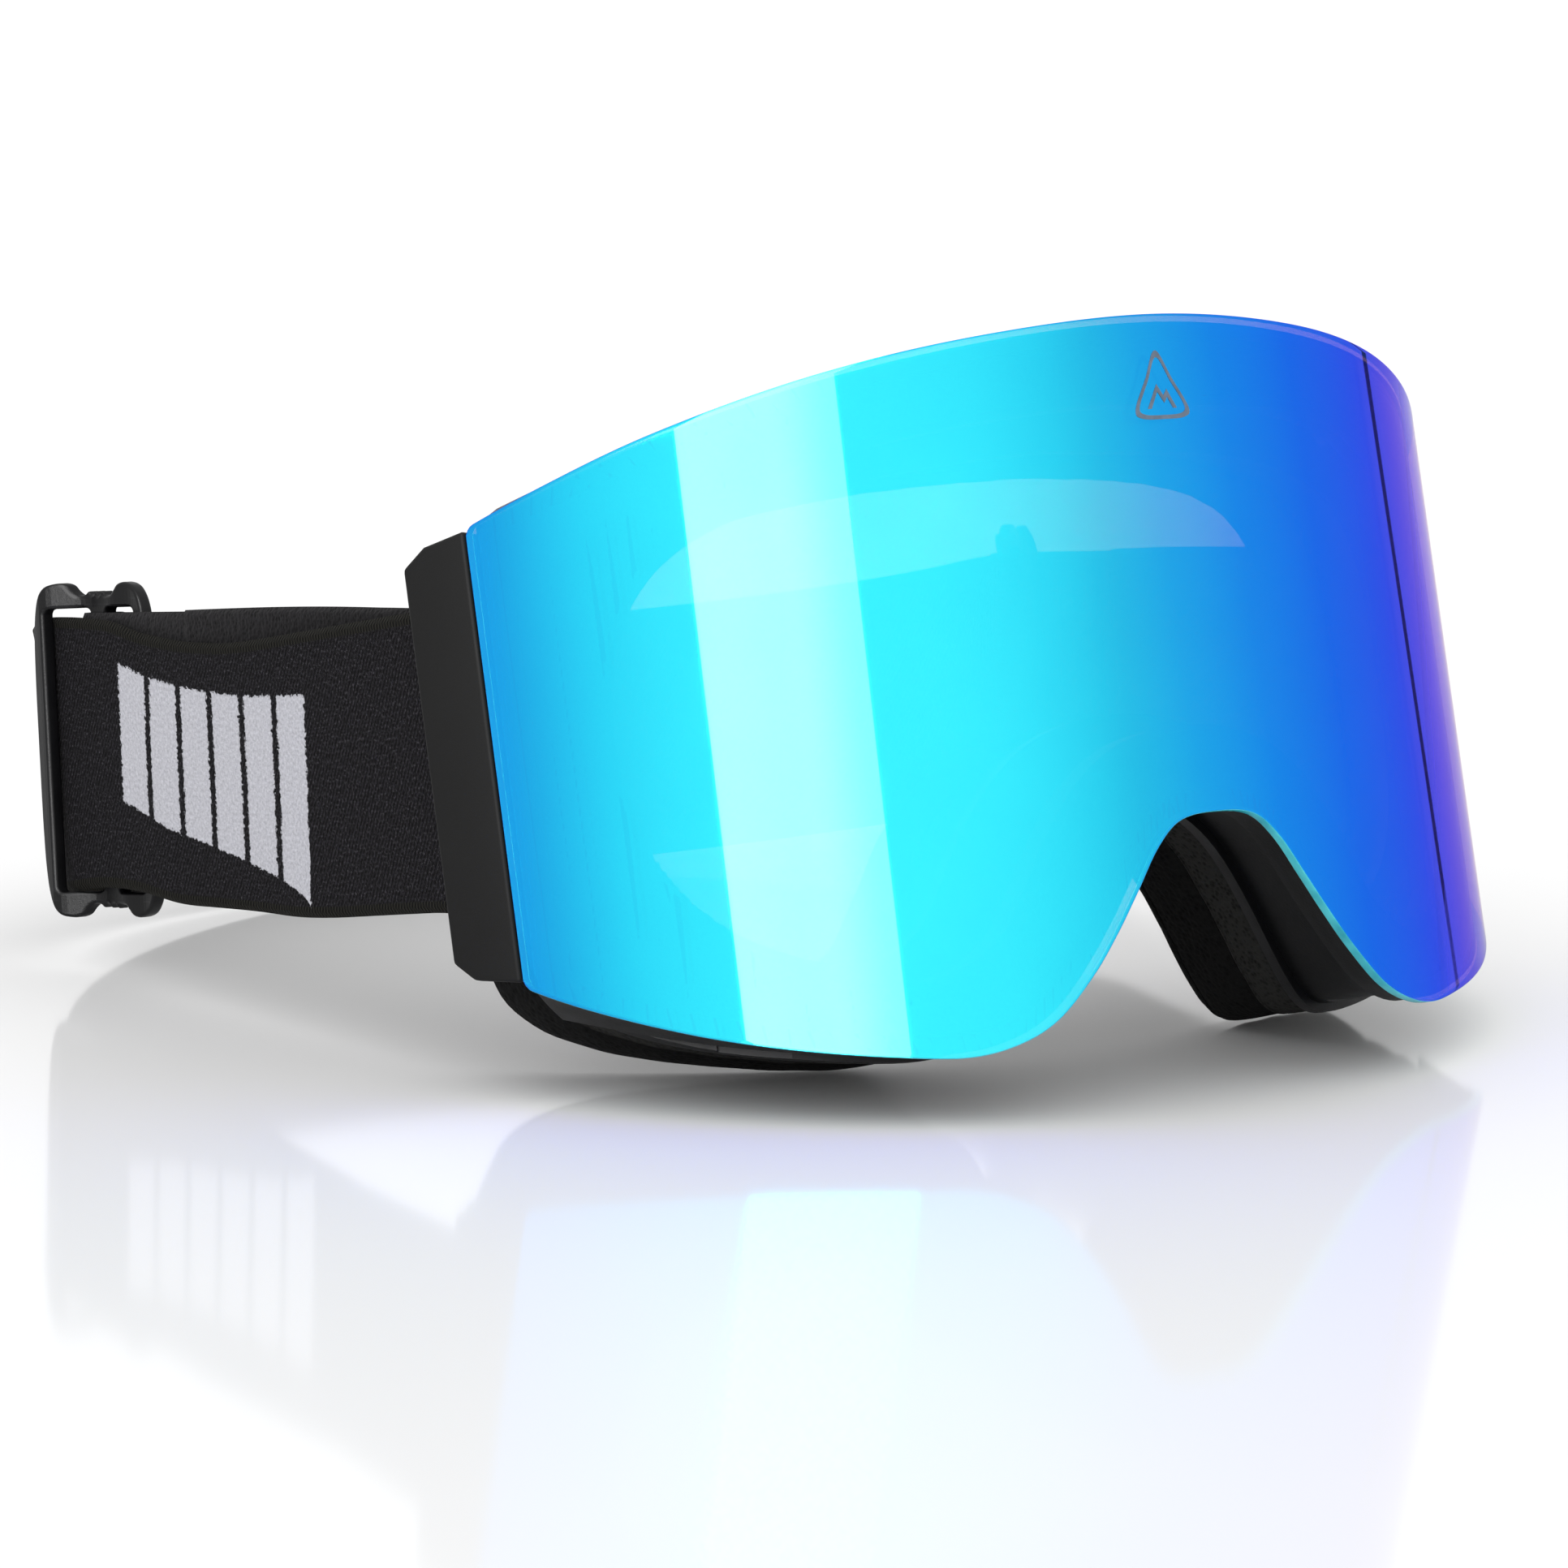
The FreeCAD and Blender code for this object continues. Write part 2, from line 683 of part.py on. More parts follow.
slider_at = size("slider_distance")
tail = size("tail_length")
tail_plan = slider_at - tail * math.cos(tilt)
top_ply = (0.0, ply)


def strap_return(tag, side):
    """Inner layer from the bar back to the sewn end at the slider."""
    body = doc.addObject("PartDesign::Body", "return_" + tag)
    reach = tail_plan + 4
    drift = 4 * (top_ply[0] + wrap_outer) / tail_plan
    plan = polygon([strap_xy(side, *point) for point in (
        (-wrap_outer, 0.0), (top_ply[0] + drift, reach), (top_ply[1] + drift, reach), (-wrap_inner, 0.0),
    )])
    pad(body, sketch(body, "return_plan_" + tag, "XY_Plane", plan), "return_blank_" + tag, "@blank_height")
    start_y = bar_y - 8
    end_y = strap_xy(1, 0, tail_plan)[1] - 0.15
    half = size("strap_width") / 2 / math.cos(tilt)
    lean = size("strap_width") / 2 * math.sin(tilt)
    edge = polygon([
        (start_y, centre_height(start_y) - half), (end_y + lean, centre_height(end_y + lean) - half),
        (end_y - lean, centre_height(end_y - lean) + half), (start_y, centre_height(start_y) + half),
    ])
    outside = rectangle(-20, 300, -90, 90)
    pocket(body, sketch(body, "return_edge_" + tag, "YZ_Plane", outside + edge), "return_trim_" + tag)
    return body


# ---------------------------------------------------------------- sliders

# Plan of the slider's side rail, front to back: distance along the strap, and the inner and
# outer faces measured out from the bar's centre.
RAIL = [
    (-10.5, -3.7, -1.7), (-7.2, -3.7, -1.7), (-3.8, -2.1, -0.2), (2.6, -2.1, -0.2),
    (7.4, 3.0, 5.2), (10.5, 3.0, 5.2),
]


def slider_frame(side):
    """Placement of a slider on the strap's flat, tilted stretch."""
    x, y = strap_xy(side, 0, slider_at)
    turn = Rotation(Vector(0, 0, 1), -side * size("strap_flare"))
    rise = Rotation(Vector(1, 0, 0), size("strap_tilt"))
    return Placement(Vector(x, y, centre_height(y)), turn.multiply(rise))


def slider(tag, side):
    body = doc.addObject("PartDesign::Body", "slider_" + tag)
    inner = [(side * low, along) for along, low, high in RAIL]
    outer = [(side * high, along) for along, low, high in reversed(RAIL)]
    plan = sketch(body, "slider_plan_" + tag, "XY_Plane", polygon(inner + outer))
    pad(body, plan, "slider_blank_" + tag, "@slider_height")
    half = size("slider_length") / 2
    window = size("slider_window") / 2
    gap = half - size("slider_bar")
    windows = rectangle(-gap, -2.2, -window, window) + rectangle(2.2, gap, -window, window)
    pocket(body, sketch(body, "slider_windows_" + tag, "YZ_Plane", windows), "slider_slots_" + tag)
    tall = size("slider_height") / 2
    floor = tall - size("slider_recess")
    recess = rectangle(-4.4, 4.4, floor, tall + 5) + rectangle(-4.4, 4.4, -tall - 5, -floor)
    pocket(body, sketch(body, "slider_ends_" + tag, "YZ_Plane", recess), "slider_recess_" + tag)

    def corners(edge):
        at_height = any(edge_spans(edge, 2, end - 0.01, end + 0.01) for end in (tall, -tall))
        return at_height and any(edge_spans(edge, 1, end - 0.01, end + 0.01) for end in (half, -half))

    fillet(body, "slider_round_" + tag, corners, "@slider_recess * 2")
    return body


def sewn_end(tag, side):
    """Strap end folded round the slider's middle bar and sewn back on itself."""
    body = doc.addObject("PartDesign::Body", "end_" + tag)
    low = -3.5
    path = [
        (ply, -tail), (ply, 2.6), (0.4, 3.7), (-2.6, 3.7), (low, 2.6), (low, -2.8),
        (-1.35, -6.8), (-1.35, -tail + 3), (-0.15, -tail + 3), (-0.15, -6.0),
        (-2.25, -2.2), (-2.25, 2.3), (-0.05, 2.3), (0.0, -tail),
    ]
    points = [(side * out, along) for out, along in path]
    plan = sketch(body, "end_plan_" + tag, "XY_Plane", polygon(points))
    pad(body, plan, "end_blank_" + tag, "@strap_width")
    return body


for tag, side in (("right", -1), ("left", 1)):
    keep(strap_return(tag, side), "strap_return_" + tag)
    keep(slider(tag, side), "slider_" + tag, slider_frame(side))
    keep(sewn_end(tag, side), "strap_end_" + tag, slider_frame(side))

# ---------------------------------------------------------------- frame, joined last

frame_tools = slots + screw_pins("pilot", "@screw_radius", 4.0, 2.2)
frame_solid = fuse("frame_solid", [wall, seat, flange] + ears)
face_frame = cut("frame", frame_solid, fuse("frame_tools", frame_tools))
keep(face_frame, "face_frame")

# ---------------------------------------------------------------- checks and export

doc.recompute()
for item in doc.Objects:
    if "Invalid" in item.State or "Error" in item.State:
        raise RuntimeError("%s failed: %s" % (item.Name, item.State))
for piece in pieces:
    if piece.Shape.isNull() or not piece.Shape.isValid():
        raise RuntimeError("%s has no valid shape" % piece.Label)

os.makedirs("parts", exist_ok=True)
box = FreeCAD.BoundBox()
for piece in pieces:
    piece.Shape.exportStep("parts/%s.step" % piece.Label)
    box.add(piece.Shape.BoundBox)
    print("%-22s %8.0f mm3  %d solids" % (piece.Label, piece.Shape.Volume, len(piece.Shape.Solids)))
print("box", box)
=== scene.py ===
import json
import math

import bmesh
import bpy
import numpy as np
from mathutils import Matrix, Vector


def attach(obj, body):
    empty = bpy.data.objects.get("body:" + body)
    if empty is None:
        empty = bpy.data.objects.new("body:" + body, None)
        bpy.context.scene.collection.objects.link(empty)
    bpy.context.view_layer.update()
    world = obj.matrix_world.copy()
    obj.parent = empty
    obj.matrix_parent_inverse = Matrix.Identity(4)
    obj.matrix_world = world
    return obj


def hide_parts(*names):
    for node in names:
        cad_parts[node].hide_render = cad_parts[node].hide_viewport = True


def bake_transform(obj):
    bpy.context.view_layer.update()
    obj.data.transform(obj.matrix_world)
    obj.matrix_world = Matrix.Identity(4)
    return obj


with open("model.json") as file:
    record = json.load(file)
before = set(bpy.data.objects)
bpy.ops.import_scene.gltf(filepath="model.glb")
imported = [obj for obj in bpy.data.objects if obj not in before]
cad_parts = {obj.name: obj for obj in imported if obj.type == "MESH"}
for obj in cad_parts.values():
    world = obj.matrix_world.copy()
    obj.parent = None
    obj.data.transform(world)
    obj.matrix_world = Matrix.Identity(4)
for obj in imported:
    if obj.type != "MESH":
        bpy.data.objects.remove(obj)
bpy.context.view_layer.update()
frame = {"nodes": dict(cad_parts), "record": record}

# ---------------------------------------------------------------- frame of the model
# Shapes are worked out in millimetres in the lens's own upright frame, then leaned back and
# moved onto the floor exactly as the CAD pieces are.

LEAN = math.radians(14.25)
SHIFT_Y = -102.44
SHIFT_Z = 55.44
LENS_R = 84.0
HALF_ARC = math.radians(65.8)
LENS_HALF_WIDTH = 96.46


def place(points):
    """Lens-frame millimetres to row-frame metres."""
    p = np.asarray(points, float)
    c, s = math.cos(LEAN), math.sin(LEAN)
    y = c * p[:, 1] + s * p[:, 2] + SHIFT_Y
    z = -s * p[:, 1] + c * p[:, 2] + SHIFT_Z
    return np.stack([p[:, 0], y, z], 1) / 1000.0


def place_one(x, y, z):
    return place([[x, y, z]])[0]


# ---------------------------------------------------------------- nodes and materials


def new_material(name):
    material = bpy.data.materials.new(name)
    material.use_nodes = True
    tree = material.node_tree
    shader = tree.nodes["Principled BSDF"]
    return material, tree, shader


def node(tree, kind, values):
    """New node with constants set on its input sockets."""
    made = tree.nodes.new(kind)
    for key, value in values.items():
        made.inputs[key].default_value = value
    return made


def math_node(tree, operation, *terms):
    """Math node whose terms are numbers or other nodes' outputs."""
    made = tree.nodes.new("ShaderNodeMath")
    made.operation = operation
    for socket, value in zip(made.inputs, terms):
        if isinstance(value, (int, float)):
            socket.default_value = value
        else:
            tree.links.new(value, socket)
    return made.outputs[0]


def plus(tree, a, b):
    return math_node(tree, "ADD", a, b)


def minus(tree, a, b):
    return math_node(tree, "SUBTRACT", a, b)


def times(tree, a, b):
    return math_node(tree, "MULTIPLY", a, b)


def above(tree, a, b):
    return math_node(tree, "GREATER_THAN", a, b)


def below(tree, a, b):
    return math_node(tree, "LESS_THAN", a, b)


def sine(tree, a):
    return math_node(tree, "SINE", a)


def shaded(colour, share):
    """Colour made darker or paler, short of white."""
    return tuple(min(1.0, c * share) for c in colour)


def ramp(tree, factor, stops, smooth=False):
    made = tree.nodes.new("ShaderNodeValToRGB")
    if smooth:
        made.color_ramp.interpolation = "EASE"
    elements = made.color_ramp.elements
    while len(elements) < len(stops):
        elements.new(0.5)
    for element, (position, colour) in zip(elements, stops):
        element.position = position
        element.color = (*colour, 1.0)
    tree.links.new(factor, made.inputs[0])
    return made.outputs[0]


def mix_colour(tree, factor, first, second, blend="MIX"):
    made = tree.nodes.new("ShaderNodeMix")
    made.data_type = "RGBA"
    made.blend_type = blend
    for index, value in ((0, factor), (6, first), (7, second)):
        socket = made.inputs[index]
        if isinstance(value, tuple):
            socket.default_value = (*value, 1.0)
        elif isinstance(value, (int, float)):
            socket.default_value = value
        else:
            tree.links.new(value, socket)
    return made.outputs[2]


def bump(tree, height, distance, strength=1.0, base=None):
    """Relief of a height in metres, over a coarser relief when base is given."""
    made = node(tree, "ShaderNodeBump", {"Strength": strength, "Distance": distance})
    tree.links.new(height, made.inputs["Height"])
    if base is not None:
        tree.links.new(base, made.inputs["Normal"])
    return made.outputs[0]


def noise(tree, scale, detail=4.0, roughness=0.55, vector=None):
    made = node(tree, "ShaderNodeTexNoise", {"Scale": scale, "Detail": detail, "Roughness": roughness})
    if vector is None:
        vector = object_place(tree)
    tree.links.new(vector, made.inputs["Vector"])
    return made.outputs["Fac"]


def object_place(tree):
    return tree.nodes.new("ShaderNodeTexCoord").outputs["Object"]


def cells(tree, scale):
    """Distance to the nearest of many scattered points."""
    made = node(tree, "ShaderNodeTexVoronoi", {"Scale": scale})
    tree.links.new(object_place(tree), made.inputs["Vector"])
    return made.outputs["Distance"]


def uneven_gloss(tree, shader, low, high, pattern):
    """Roughness that runs between two values as the pattern does."""
    spread = node(tree, "ShaderNodeMapRange", {"To Min": low, "To Max": high})
    tree.links.new(pattern, spread.inputs["Value"])
    tree.links.new(spread.outputs[0], shader.inputs["Roughness"])


def let_through(tree, shader, share, tint):
    """Sheet that passes a share of the light straight on, tinted."""
    through = node(tree, "ShaderNodeBsdfTransparent", {"Color": (*tint, 1.0)})
    blend = node(tree, "ShaderNodeMixShader", {0: share})
    tree.links.new(shader.outputs[0], blend.inputs[1])
    tree.links.new(through.outputs[0], blend.inputs[2])
    tree.links.new(blend.outputs[0], tree.nodes["Material Output"].inputs["Surface"])


def matte(shader, specular, roughness, sheen=0.0, sheen_roughness=0.5):
    """Plain reflectance of foam and cloth."""
    shader.inputs["Specular IOR Level"].default_value = specular
    shader.inputs["Roughness"].default_value = roughness
    shader.inputs["Sheen Weight"].default_value = sheen
    shader.inputs["Sheen Roughness"].default_value = sheen_roughness


def moulded_plastic(name, colour, roughness, specular, grain=2600.0, depth=2.5e-5, edge_highlight_gain=1.7):
    """Fine-sparked moulded plastic with uneven sheen; its sharp convex edges are painted slightly paler, a
    painted edge highlight.
    """
    material, tree, shader = new_material(name)
    shader.inputs["Specular IOR Level"].default_value = specular
    cloud = noise(tree, 90.0, 5.0)
    tint = ramp(tree, cloud, [(0.3, shaded(colour, 0.8)), (0.75, shaded(colour, 1.25))])
    # Painted highlight: sharp convex edges, found by pointiness, get a paler colour.
    edge = tree.nodes.new("ShaderNodeNewGeometry").outputs["Pointiness"]
    edge_highlight_mask = ramp(tree, edge, [(0.515, (0.0, 0.0, 0.0)), (0.58, (1.0, 1.0, 1.0))])
    final = mix_colour(tree, edge_highlight_mask, tint, tuple(min(1.0, c * edge_highlight_gain + 0.004) for c in colour))
    tree.links.new(final, shader.inputs["Base Color"])
    uneven_gloss(tree, shader, roughness - 0.07, roughness + 0.09, noise(tree, 240.0, 6.0))
    sparks = noise(tree, grain, 2.0, 0.7)
    tree.links.new(bump(tree, sparks, depth), shader.inputs["Normal"])
    return material


def cell_foam(name, dark, light, fineness, depth):
    """Open-cell foam: pores painted darker than the pale walls between them, a painted shade in the cells'
    hollows, over a soft unevenness.
    """
    material, tree, shader = new_material(name)
    matte(shader, 0.06, 0.92)
    both = plus(tree, cells(tree, fineness), times(tree, cells(tree, fineness * 0.43), 0.5))
    fuzz = plus(tree, both, times(tree, noise(tree, fineness * 1.7), 0.35))
    # Painted shade: the pores are coloured darker than the walls around them.
    tree.links.new(ramp(tree, fuzz, [(0.35, dark), (0.95, light)]), shader.inputs["Base Color"])
    soft = bump(tree, noise(tree, 130.0, 3.0), 2.5e-4)
    tree.links.new(bump(tree, fuzz, depth, 1.0, soft), shader.inputs["Normal"])
    return material


def brushed_metal(name, colour, roughness, along=(60.0, 60.0, 2500.0)):
    """Metal with fine drawn lines and faint spots."""
    material, tree, shader = new_material(name)
    shader.inputs["Metallic"].default_value = 1.0
    stretch = node(tree, "ShaderNodeMapping", {"Scale": along})
    tree.links.new(object_place(tree), stretch.inputs["Vector"])
    lines = noise(tree, 1.0, 6.0, 0.6, stretch.outputs[0])
    spots = noise(tree, 700.0, 3.0)
    shade = ramp(tree, spots, [(0.3, shaded(colour, 0.75)), (0.7, colour)])
    tree.links.new(shade, shader.inputs["Base Color"])
    uneven_gloss(tree, shader, roughness - 0.08, roughness + 0.12, lines)
    tree.links.new(bump(tree, lines, 8e-6), shader.inputs["Normal"])
    return material


def mirror_lens(name):
    """Blue mirror coating: its reflection runs from cyan head on to violet at a glancing angle,
    and the amber light that it lets through shows what is bright behind it."""
    material, tree, shader = new_material(name)
    shader.inputs["Metallic"].default_value = 1.0
    facing = node(tree, "ShaderNodeLayerWeight", {"Blend": 0.5}).outputs["Facing"]
    coat = ramp(tree, facing, [
        (0.0, (0.035, 0.86, 1.0)), (0.09, (0.020, 0.70, 1.0)), (0.18, (0.010, 0.46, 1.0)),
        (0.28, (0.004, 0.29, 1.0)), (0.42, (0.004, 0.17, 1.0)), (0.60, (0.020, 0.115, 1.0)),
        (0.78, (0.14, 0.12, 0.88)), (0.95, (0.34, 0.28, 0.82)),
    ])
    haze = ramp(tree, noise(tree, 45.0, 3.0), [(0.35, (0.94, 0.96, 0.98)), (0.7, (1.0, 1.0, 1.0))])
    tree.links.new(mix_colour(tree, 1.0, coat, haze, "MULTIPLY"), shader.inputs["Base Color"])
    uneven_gloss(tree, shader, 0.015, 0.045, noise(tree, 120.0, 4.0))
    tree.links.new(bump(tree, noise(tree, 28.0, 1.0), 1.2e-5), shader.inputs["Normal"])
    shader.inputs["Specular Tint"].default_value = (0.50, 0.42, 1.0, 1.0)
    shader.inputs["Coat Weight"].default_value = 0.10
    shader.inputs["Coat Roughness"].default_value = 0.02
    let_through(tree, shader, 0.30, (1.0, 0.76, 0.46))
    return material


def clear_plastic(name):
    """Thin clear sheet with an anti-fog bloom."""
    material, tree, shader = new_material(name)
    shader.inputs["Base Color"].default_value = (0.80, 0.84, 0.86, 1.0)
    uneven_gloss(tree, shader, 0.03, 0.12, noise(tree, 60.0, 5.0))
    tree.links.new(bump(tree, noise(tree, 35.0, 2.0), 1.0e-5), shader.inputs["Normal"])
    let_through(tree, shader, 0.90, (0.93, 0.95, 0.96))
    return material


def woven_mark(tree, place_mm, along, up):
    """Mask of a plain wedge of six leaning bars with ragged woven edges."""
    start, finish = 37.0, 90.0
    bars, bar_share = 6.0, 0.83
    ragged = times(tree, minus(tree, noise(tree, 1.3, 4.0, 0.75, place_mm), 0.5), 2.6)
    lean = plus(tree, plus(tree, along, times(tree, up, 0.16)), ragged)
    inside = times(tree, above(tree, lean, start), below(tree, lean, finish))
    part = math_node(tree, "DIVIDE", minus(tree, lean, start), finish - start)
    in_bar = below(tree, math_node(tree, "FRACT", times(tree, part, bars)), bar_share)
    low = minus(tree, times(tree, math_node(tree, "POWER", part, 0.6), 12.0), 18.6)
    high = plus(tree, 11.2, times(tree, part, 3.0))
    rough_up = plus(tree, up, ragged)
    tall = times(tree, above(tree, rough_up, low), below(tree, rough_up, high))
    return times(tree, times(tree, inside, in_bar), tall)


def webbing(name):
    """Elastic twill with a wedge of bars woven in white and a firm dotted selvedge.
    UVs hold millimetres: x back from the bar, y up from the middle."""
    material, tree, shader = new_material(name)
    matte(shader, 0.05, 0.85, 0.012)
    uv = tree.nodes.new("ShaderNodeUVMap")
    uv.uv_map = "millimetres"
    place_mm = uv.outputs[0]
    split = tree.nodes.new("ShaderNodeSeparateXYZ")
    tree.links.new(place_mm, split.inputs[0])
    along, up = split.outputs[0], split.outputs[1]

    # diagonal ribs of the twill crossed by single yarns
    wobble = noise(tree, 1.6, 2.0, 0.5, place_mm)
    diagonal = plus(tree, times(tree, along, 7.4), times(tree, up, 5.2))
    rib = sine(tree, plus(tree, diagonal, times(tree, wobble, 2.4)))
    yarn = sine(tree, plus(tree, times(tree, along, 13.0), times(tree, up, -2.2)))
    row = sine(tree, times(tree, up, 14.5))
    weave = plus(tree, times(tree, rib, 0.55), times(tree, times(tree, yarn, row), 0.45))

    # streaks along the warp, and light specks of single fibres painted as glints (painted highlights)
    drawn = node(tree, "ShaderNodeMapping", {"Scale": (0.5, 2.6, 1.0)})
    tree.links.new(place_mm, drawn.inputs["Vector"])
    streaks = noise(tree, 1.0, 4.0, 0.7, drawn.outputs[0])
    specks = noise(tree, 2.3, 4.0, 0.85, place_mm)
    body = ramp(tree, plus(tree, times(tree, weave, 0.26), streaks), [
        (0.28, (0.0006, 0.0005, 0.0007)), (0.55, (0.0046, 0.0041, 0.0054)), (0.80, (0.021, 0.0195, 0.0245)),
    ])
    # Painted highlight: pale glints of single fibres are added onto the colour.
    painted_glints = ramp(tree, specks, [(0.54, (0.0, 0.0, 0.0)), (0.68, (0.088, 0.083, 0.095))])
    colour = mix_colour(tree, 1.0, body, painted_glints, "ADD")

    rim = above(tree, math_node(tree, "ABSOLUTE", up), 18.4)
    dots = above(tree, sine(tree, times(tree, along, 9.0)), 0.2)
    selvedge = mix_colour(tree, dots, (0.0025, 0.0025, 0.002), (0.020, 0.019, 0.015))
    colour = mix_colour(tree, rim, colour, selvedge)
    height = plus(tree, weave, times(tree, rim, 0.6))

    mark = woven_mark(tree, place_mm, along, up)
    white = ramp(tree, noise(tree, 1.9, 4.0, 0.8, place_mm), [
        (0.3, (0.36, 0.36, 0.40)), (0.7, (0.72, 0.72, 0.77)),
    ])
    colour = mix_colour(tree, mark, colour, white)
    damped = times(tree, height, minus(tree, 1.0, times(tree, mark, 0.6)))
    height = plus(tree, damped, times(tree, mark, 1.2))

    tree.links.new(colour, shader.inputs["Base Color"])
    creases = bump(tree, noise(tree, 0.16, 3.0, 0.5, place_mm), 5e-4, 0.35)
    fibres = bump(tree, specks, 1.0e-4, 0.8, creases)
    tree.links.new(bump(tree, height, 9.0e-5, 1.0, fibres), shader.inputs["Normal"])
    return material


def loop_pile(name):
    """Brushed loops of the strap's inner layer."""
    material, tree, shader = new_material(name)
    matte(shader, 0.08, 0.95, 0.04, 0.6)
    mass = plus(tree, cells(tree, 1500.0), noise(tree, 900.0, 4.0))
    shade = ramp(tree, mass, [(0.5, (0.001, 0.001, 0.001)), (1.15, (0.013, 0.012, 0.0135))])
    tree.links.new(shade, shader.inputs["Base Color"])
    soft = bump(tree, noise(tree, 260.0, 3.0), 3e-4)
    tree.links.new(bump(tree, mass, 2.2e-4, 1.0, soft), shader.inputs["Normal"])
    return material


def fleece_cloth(name):
    """Short brushed fleece."""
    material, tree, shader = new_material(name)
    matte(shader, 0.05, 1.0, 0.08)
    tufts = noise(tree, 520.0, 5.0, 0.7)
    hairs = noise(tree, 2400.0, 3.0, 0.8)
    mass = plus(tree, tufts, times(tree, hairs, 0.5))
    shade = ramp(tree, mass, [(0.5, (0.002, 0.002, 0.0025)), (1.0, (0.016, 0.016, 0.018))])
    tree.links.new(shade, shader.inputs["Base Color"])
    tree.links.new(bump(tree, mass, 3.0e-4), shader.inputs["Normal"])
    return material


def painted_glow_edge(name):
    """Cut edge of the lens, coloured a bright cyan: a painted glow that stands in for the light the edge
    gathers.
    """
    material, tree, shader = new_material(name)
    # Painted glow: the bright cyan colour stands in for light gathered in the cut edge.
    shade = ramp(tree, noise(tree, 160.0, 3.0), [(0.3, (0.02, 0.42, 0.52)), (0.7, (0.10, 0.74, 0.80))])
    tree.links.new(shade, shader.inputs["Base Color"])
    shader.inputs["Roughness"].default_value = 0.16
    tree.links.new(bump(tree, noise(tree, 900.0, 2.0), 1.5e-5), shader.inputs["Normal"])
    return material


def thread(name, colour):
    """Twisted sewing thread."""
    material, tree, shader = new_material(name)
    shader.inputs["Roughness"].default_value = 0.7
    twist = noise(tree, 5200.0, 2.0)
    shade = ramp(tree, twist, [(0.3, shaded(colour, 0.5)), (0.7, colour)])
    tree.links.new(shade, shader.inputs["Base Color"])
    tree.links.new(bump(tree, twist, 5e-5), shader.inputs["Normal"])
    return material


MATERIALS = {
    "lens_mirror": mirror_lens("lens_mirror_coat"),
    "lens_clear": clear_plastic("lens_clear_sheet"),
    "gasket_foam": cell_foam("gasket_cells", (0.002, 0.002, 0.002), (0.014, 0.014, 0.014), 2600.0, 1.2e-4),
    "carrier_black": moulded_plastic("carrier_satin", (0.0035, 0.0035, 0.004), 0.42, 0.14),
    "magnet": brushed_metal("magnet_nickel", (0.72, 0.70, 0.66), 0.28),
    "frame_black": moulded_plastic("frame_soft_black", (0.0042, 0.0042, 0.0052), 0.44, 0.17, 1800.0, 2e-5),
    "vent_foam": cell_foam("vent_cells", (0.002, 0.002, 0.002), (0.020, 0.020, 0.020), 900.0, 4.0e-4),
    "foam_grey": cell_foam("foam_grey_cells", (0.006, 0.006, 0.0058), (0.03, 0.0298, 0.0282), 1300.0, 1.8e-4),
    "foam_black": cell_foam("foam_black_cells", (0.0014,) * 3, (0.0085,) * 3, 1100.0, 2.2e-4),
    "fleece": fleece_cloth("fleece_nap"),
    "cover_black": moulded_plastic("cover_matte", (0.0048, 0.0048, 0.0048), 0.60, 0.13, 3200.0, 1.8e-5),
    "bracket_black": moulded_plastic("bracket_satin", (0.004, 0.004, 0.004), 0.48, 0.15),
    "steel": brushed_metal("steel_drawn", (0.58, 0.58, 0.60), 0.30, (300.0, 300.0, 4000.0)),
    "strap_elastic": webbing("strap_twill"),
    "slider_black": moulded_plastic("slider_satin", (0.0038, 0.0038, 0.0046), 0.34, 0.2, 2200.0, 2e-5, 2.2),
}
PILE = loop_pile("strap_pile")
THREAD = thread("sewing_thread", (0.06, 0.06, 0.066))
LENS_RIM_GLOW_PAINT = painted_glow_edge("lens_edge_painted_glow")
MARK_GREY = brushed_metal("mark_grey_foil", (0.16, 0.20, 0.26), 0.35)

SLOTS = {item["node"]: item["material_slot"] for item in frame["record"]["subparts"]}

for name, part in frame["nodes"].items():
    part.data.materials.clear()
    part.data.materials.append(MATERIALS[SLOTS[name]])


def finish_piece(piece, body, slot, replaced=(), material=None, smooth=True):
    """Material, shading and the frame's rows for a piece; without a body it is left unattached."""
    piece.data.materials.clear()
    piece.data.materials.append(material or MATERIALS[slot])
    if smooth:
        for face in piece.data.polygons:
            face.use_smooth = True
    if body:
        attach(piece, body)
    if replaced:
        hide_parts(*replaced)
    return piece


def mesh_object(name, vertices, faces, uvs=None):
    """Mesh from row-frame points; uvs holds one (x, y) for each vertex."""
    mesh = bpy.data.meshes.new(name)
    mesh.from_pydata([tuple(v) for v in vertices], [], [tuple(int(i) for i in f) for f in faces])
    if uvs is not None:
        layer = mesh.uv_layers.new(name="millimetres")
        index = np.zeros(len(mesh.loops), np.int32)
        mesh.loops.foreach_get("vertex_index", index)
        layer.data.foreach_set("uv", np.asarray(uvs, np.float32)[index].ravel())
    mesh.validate()
    work = bmesh.new()
    work.from_mesh(mesh)
    bmesh.ops.recalc_face_normals(work, faces=work.faces)
    work.to_mesh(mesh)
    work.free()
    piece = bpy.data.objects.new(name, mesh)
    bpy.context.collection.objects.link(piece)
    return piece


def round_edges(piece, width, segments, angle):
    """Bevel, width in millimetres, on edges sharper than an angle in degrees."""
    edge = piece.modifiers.new("edge", "BEVEL")
    edge.width = width / 1000
    edge.segments = segments
    edge.limit_method = "ANGLE"
    edge.angle_limit = math.radians(angle)
    return edge


def apply_modifiers(piece):
    depsgraph = bpy.context.evaluated_depsgraph_get()
    mesh = bpy.data.meshes.new_from_object(piece.evaluated_get(depsgraph))
    piece.modifiers.clear()
    piece.data = mesh
    return piece


